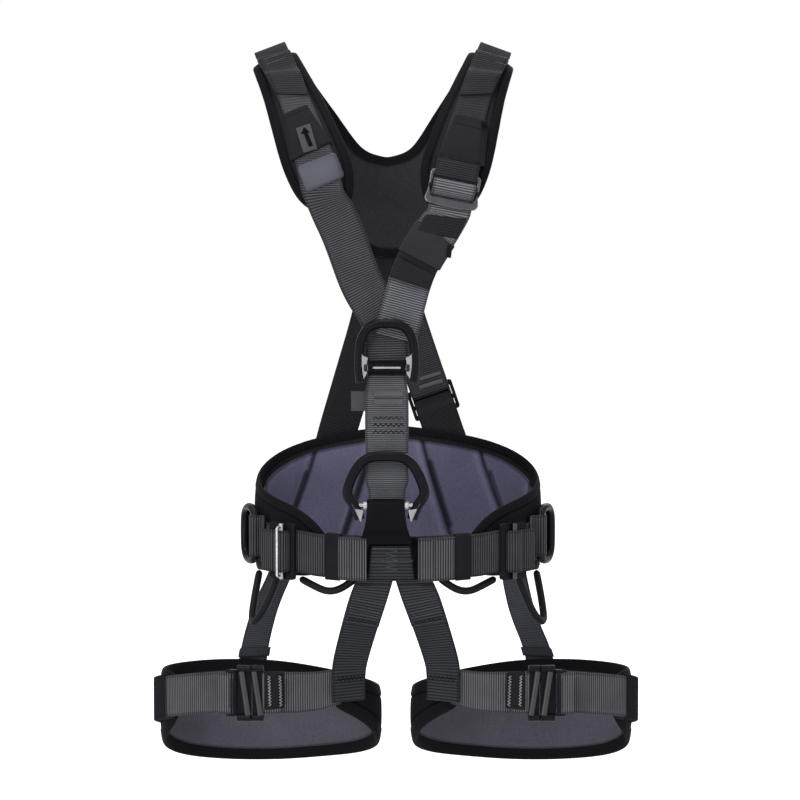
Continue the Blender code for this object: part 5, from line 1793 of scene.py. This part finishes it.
@dataclass
class WaistBelt:
    """Waist pad and lining, belt webbing, adjusters, rings and gear loops."""

    width: float = 44 * MM
    end_out: float = 14.8 * MM
    left_end: Spot = (-157.5, -168.6)
    left_seams: tuple[float, ...] = (-162.5, -166.8)
    right_end: Spot = (158.7, 171.5)
    right_seams: tuple[float, ...] = (166.5,)
    bail_size: tuple[float, float, float] = (25.0, 11.6, 1.3)
    bail_root: Spot = (-2.0, 4.9)

    def dress(self) -> None:
        """Build the belt pieces."""
        inward = toward_axis((WAIST.centre_x, 0.0))
        Pad("waist_pad", WAIST_PAD, inward).dress()
        Pad("waist_lining", WAIST_LINING, inward, slot=Slot.LINING, tape_lift=0.0, groove=0.0,
            channels=WAIST.creases, stitched=False).dress()
        for node in ("belt_webbing", "belt_bridge"):
            Strap.of(node, WEB_BELT).dress()
        for side in Side:
            self.half(side)
        left, right = (WAIST.line(*angles, self.end_out, self.width)
                       for angles in (self.left_end, self.right_end))
        flipped = StrapLine(right.centre, right.across, -right.normal).folded(1.4 * MM, 11 * MM)
        for name, line, seams in (("left", left, self.left_seams), ("right", flipped, self.right_seams)):
            Strap("belt_end_" + name, WEB_BELT_LIT, line).dress()
            rows = []
            for angle in seams:
                row = WAIST.line(angle, angle + 0.5, self.end_out + 1.25 * MM, self.width)
                rows.append(np.array([row.centre[0] + row.across[0] * s for s in np.linspace(-0.4, 0.4, 18)]))
            STITCHES.sew(f"belt_end_{name}_stitches", rows, THREAD_BLACK)

    def half(self, side: Side) -> None:
        """Build one side of the belt."""
        tag = side.value
        Strap.of("belt_strap_" + tag, WEB_BELT).dress()
        Strap.of("side_ring_holder_" + tag, WEB_BELT).dress()
        HardPart("belt_keeper_" + tag, "harness", KEEPER_CLOTH, Slot.KEEPER, 0.6 * MM).dress()
        HardPart(f"waist_adjuster_{tag}_frame", "harness", BUCKLE_BLACK, Slot.BUCKLE, 0.9 * MM).dress()
        bar = LUG_STEEL if side is Side.LEFT else ROD_GREY
        HardPart(f"waist_adjuster_{tag}_bar", "waist_adjuster_bar_" + tag, bar, Slot.BUCKLE).dress()
        if side is Side.LEFT:
            self.bail(Plate.of_node(f"waist_adjuster_{tag}_frame", (-1, 0, 0)))
        RoundRod("side_ring_" + tag, "side_ring_" + tag, RING_BLACK, Slot.RING, 0.9 * MM).dress()
        for spot in ("side", "front"):
            node = f"gear_loop_{spot}_{tag}"
            RoundRod(node, node, TUBE_BLACK, Slot.TUBE).dress()

    def bail(self, plate: Plate) -> None:
        """Add the bright wire bail that the left adjuster's bar carries."""
        reach, out, radius = self.bail_size
        along, root = self.bail_root
        corners = [plate.put(x, along, z)
                   for x, z in ((-reach, root), (-reach, out), (reach, out), (reach, root))]
        for name, *ends in zip(("low", "bar", "high"), corners, corners[1:]):
            add_rod("waist_bail_" + name, tuple(ends), radius * MM, STEEL, "waist_adjuster_bar_left",
                    sides=14)


@dataclass
class LegLoop:
    """One leg loop with its pad, webbing, buckle, keeper and straps."""

    side: Side
    axis: tuple[float, float] = (132 * MM, -8 * MM)
    root: float = 2.5 * MM
    end_run: float = 53 * MM
    seams: tuple[float, ...] = (24.5 * MM, 35 * MM, 40.5 * MM)
    mirror_u: float = 395.0
    bar_lean: float = 3.4
    bar_half: float = 23.0
    back_half: float = 23.5
    ear_half: float = 25.5
    ear_end: float = 6.5
    keeper_face: Outline = ((164.5, 678), (175.5, 677), (175.5, 718), (165, 720))
    tack_patch: Outline = ((265, 671), (283.5, 672.5), (284, 708), (265, 710))
    tack_rows: tuple[tuple[Spot, Spot], ...] = (((269, 676), (270, 706)), ((280, 676), (281, 706)))
    web_fold: tuple[float, float] = (23.5 * MM, 6.3 * MM)

    def seen(self, spots: Iterable[Spot]) -> Outline:
        """Picture points given for the left loop, on this loop."""
        return tuple((u, v) if self.side is Side.LEFT else (2 * self.mirror_u - u, v) for u, v in spots)

    def dress(self) -> None:
        """Build the pieces of this leg loop."""
        tag = self.side.value
        body = "leg_loop_" + tag
        inward = toward_axis((self.side.sign * self.axis[0], self.axis[1]))
        Pad("leg_pad_" + tag, LEG_PAD, inward, body).dress()
        inner = Strap.of("leg_webbing_inner_" + tag, WEB_LEG, body).dress()
        Strap.of("leg_webbing_outer_" + tag, WEB_LEG, body).dress()
        self.tacks(body, Carrier(inner))
        self.front_strap(body)
        self.buckle(body)
        keeper = HardPart("leg_keeper_" + tag, body, KEEPER_CLOTH, Slot.KEEPER, 1.6 * MM).dress()
        Overlay("leg_keeper_face_" + tag, self.seen(self.keeper_face), KEEPER_FACE, Carrier(keeper), 1.4 * MM,
                2.5).dress(body, Slot.KEEPER)
        node = "rear_leg_strap_" + tag
        low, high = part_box(node)
        middle = (low + high) / 2
        start = Vector((middle.x, middle.y, high.z - 34 * MM))
        end = Vector((middle.x, middle.y, low.z + 30 * MM))
        rear = ElasticStrap.of(node, ELASTIC, body, slot=Slot.ELASTIC, rib_depth=0.15 * MM, start=start,
                               end=end)
        rear.dress()
        line = rear.line.facing()
        spot = line.at_height(low.z + 36 * MM)
        tab = line.part(spot - 5 * MM, spot + 5 * MM, 2.1 * MM, 1.12)
        Strap("rear_strap_tab_" + tag, TAB_CLOTH, tab, body, Slot.ELASTIC, thickness=1.4 * MM).dress()

    def tacks(self, body: str, inner: Carrier) -> None:
        """Sew a dark patch with light bar tacks beside the buckle."""
        tag = self.side.value
        panel = Overlay("leg_tack_patch_" + tag, self.seen(self.tack_patch), PANEL_CLOTH, inner, 1.3 * MM,
                        1.5)
        over = Carrier(panel.dress(body, Slot.WEBBING))
        light = [over.line(self.seen(zigzag(*row, 1.2, 1.5)), 0.4 * MM) for row in self.tack_rows]
        STITCHES.sew("leg_tacks_" + tag, light, THREAD_TACK, radius=0.55 * MM, running=True, body=body)

    def front_strap(self, body: str) -> None:
        """Build the front strap, the end that is doubled over it and its stitching."""
        tag = self.side.value
        strap = Strap.of("front_leg_strap_" + tag, WEB_STRAP, body)
        strap.line = strap.line.reaching(self.root)
        strap.dress()
        top = strap.line.facing()
        Strap("front_strap_end_" + tag, WEB_STRAP_END, top.part(6.5 * MM, self.end_run, 2.4 * MM, 0.99), body,
              thickness=2.2 * MM).dress()
        rows = [top.row(d, lift=3.9 * MM) for d in self.seams]
        STITCHES.sew("front_strap_stitches_" + tag, rows, THREAD_LIGHT, body=body)
        wave = [top.row(48 * MM, lift=3.9 * MM, swing=1.6 * MM),
                top.row(top.run[-1] - 24 * MM, lift=1.3 * MM, swing=2.5 * MM)]
        STITCHES.sew("front_strap_zigzag_" + tag, wave, THREAD_BLACK, radius=0.4 * MM, running=True,
                     body=body)

    def buckle(self, body: str) -> None:
        """Build the two-piece buckle with its bright bars, and the webbing's fold round the hook."""
        tag = self.side.value
        hook = "leg_buckle_hook_" + tag
        hinge, axis = hinge_of(hook)
        reach, radius = self.web_fold
        ends = (hinge - axis * reach, hinge + axis * reach)
        add_rod("leg_web_fold_" + tag, ends, radius, KEEPER_CLOTH, body, Slot.WEBBING)
        ahead = (-self.side.sign, 0.0, 0.0)
        parts = (("leg_buckle_frame_" + tag, body, 6.0, 5.2, 0.5, (6.0, 4.2, 5.0)),
                 (hook, hook, 5.0, 2.8, -3.0, (0.0, -0.1, 10.5)))
        for node, carrier, shift, level, ear_start, (middle, depth, half) in parts:
            HardPart(node, carrier, BUCKLE_BLACK, Slot.BUCKLE, 1.1 * MM).dress()
            plate = Plate.of_node(node, ahead)
            lean = self.side.sign * self.bar_lean / self.bar_half
            ends = tuple(plate.put(x, shift - lean * x, level) for x in (-self.bar_half, self.bar_half))
            add_rod(node + "_bar", ends, 3.7 * MM, ROD_GREY, carrier)
            back = Plate(plate.put(0, middle, depth), plate.across, plate.along, plate.normal)
            outline = rounded_box(self.back_half, -half, half, 2.0, 5)
            web = flat_piece(node + "_back", back, [outline], 1.6 * MM, BUCKLE_BLACK, 0.4 * MM)
            place(web, carrier, Slot.BUCKLE)
            for name, x in (("low", -self.ear_half), ("high", self.ear_half)):
                ends = (plate.put(x, ear_start, level), plate.put(x, shift + self.ear_end, level))
                add_rod(f"{node}_ear_{name}", ends, 3.6 * MM, BUCKLE_BLACK, carrier)


# Studio


@dataclass
class Lamp:
    """A soft square lamp aimed at a point."""

    name: str
    place: tuple[float, float, float]
    power: float
    size: float
    aim: tuple[float, float, float] = (0.0, 0.0, 0.1)

    def build(self) -> None:
        """Add the lamp to the scene."""
        data = bpy.data.lights.new(self.name, "AREA")
        data.energy = self.power
        data.size = self.size
        lamp = in_scene(self.name, data)
        lamp.location = self.place
        lamp.rotation_euler = (Vector(self.aim) - Vector(self.place)).to_track_quat("-Z", "Y").to_euler()


@dataclass
class Studio:
    """Camera, lamps, white surround and floor."""

    floor_z: float = -0.42
    floor_half: float = 6.0
    ambient: float = 0.27
    lamps: tuple[Lamp, ...] = (
        Lamp("key", (-1.1, -1.9, 1.9), 41.0, 1.4),
        Lamp("fill", (1.7, -1.7, 0.7), 12.0, 1.6),
        Lamp("top", (0.1, 0.1, 2.3), 22.0, 1.4),
        Lamp("rim", (0.6, 2.0, 1.4), 14.0, 1.4),
        Lamp("strip", (-1.5, -1.7, -0.12), 7.0, 0.45),
    )

    def build(self) -> None:
        """Set the stage."""
        scene = bpy.context.scene
        scene.view_settings.view_transform = "Standard"
        data = bpy.data.cameras.new("camera")
        data.lens = VIEW.lens
        data.sensor_width = VIEW.sensor
        camera = in_scene("camera", data)
        camera.location = VIEW.eye
        camera.rotation_euler = VIEW.turn.to_euler()
        scene.camera = camera
        for lamp in self.lamps:
            lamp.build()
        self.surround()
        self.floor()

    @staticmethod
    def seen(graph: Graph) -> Socket:
        """1 on rays that look at the surround, 0 on rays that light the object."""
        path = graph.add("ShaderNodeLightPath")
        total = graph.math("ADD", path.outputs["Is Camera Ray"], path.outputs["Is Glossy Ray"])
        return graph.math("MINIMUM", graph.math("ADD", total, path.outputs["Is Transmission Ray"]), 1.0)

    def surround(self) -> None:
        """White world for the camera and for reflections, softer for the light it gives."""
        world = bpy.data.worlds.new("studio")
        world.use_nodes = True
        graph = Graph(world.node_tree)
        strength = graph.scaled(self.seen(graph), 1.0 - self.ambient, self.ambient)
        graph.fill(world.node_tree.nodes["Background"], {"Color": rgba(WHITE), "Strength": strength})
        bpy.context.scene.world = world

    def floor(self) -> None:
        """Pale floor that keeps the harness's shadow."""
        half = self.floor_half
        corners = [(x, y, self.floor_z)
                   for x, y in ((-half, -half), (half, -half), (half, half), (-half, half))]
        mesh = bpy.data.meshes.new("floor")
        mesh.from_pydata(corners, [], [(0, 1, 2, 3)])
        linked("floor", mesh, FLOOR, smooth=False)


def main() -> None:
    """Build the studio and every sub-assembly, and note the sizes."""
    logging.basicConfig(level=logging.INFO, format="%(name)s: %(message)s")
    Studio().build()
    Shoulders().dress()
    FrontColumn().dress()
    BackStraps().dress()
    WaistBelt().dress()
    for side in Side:
        LegLoop(side).dress()
    bpy.context.view_layer.update()


if __name__ == "__main__":
    main()
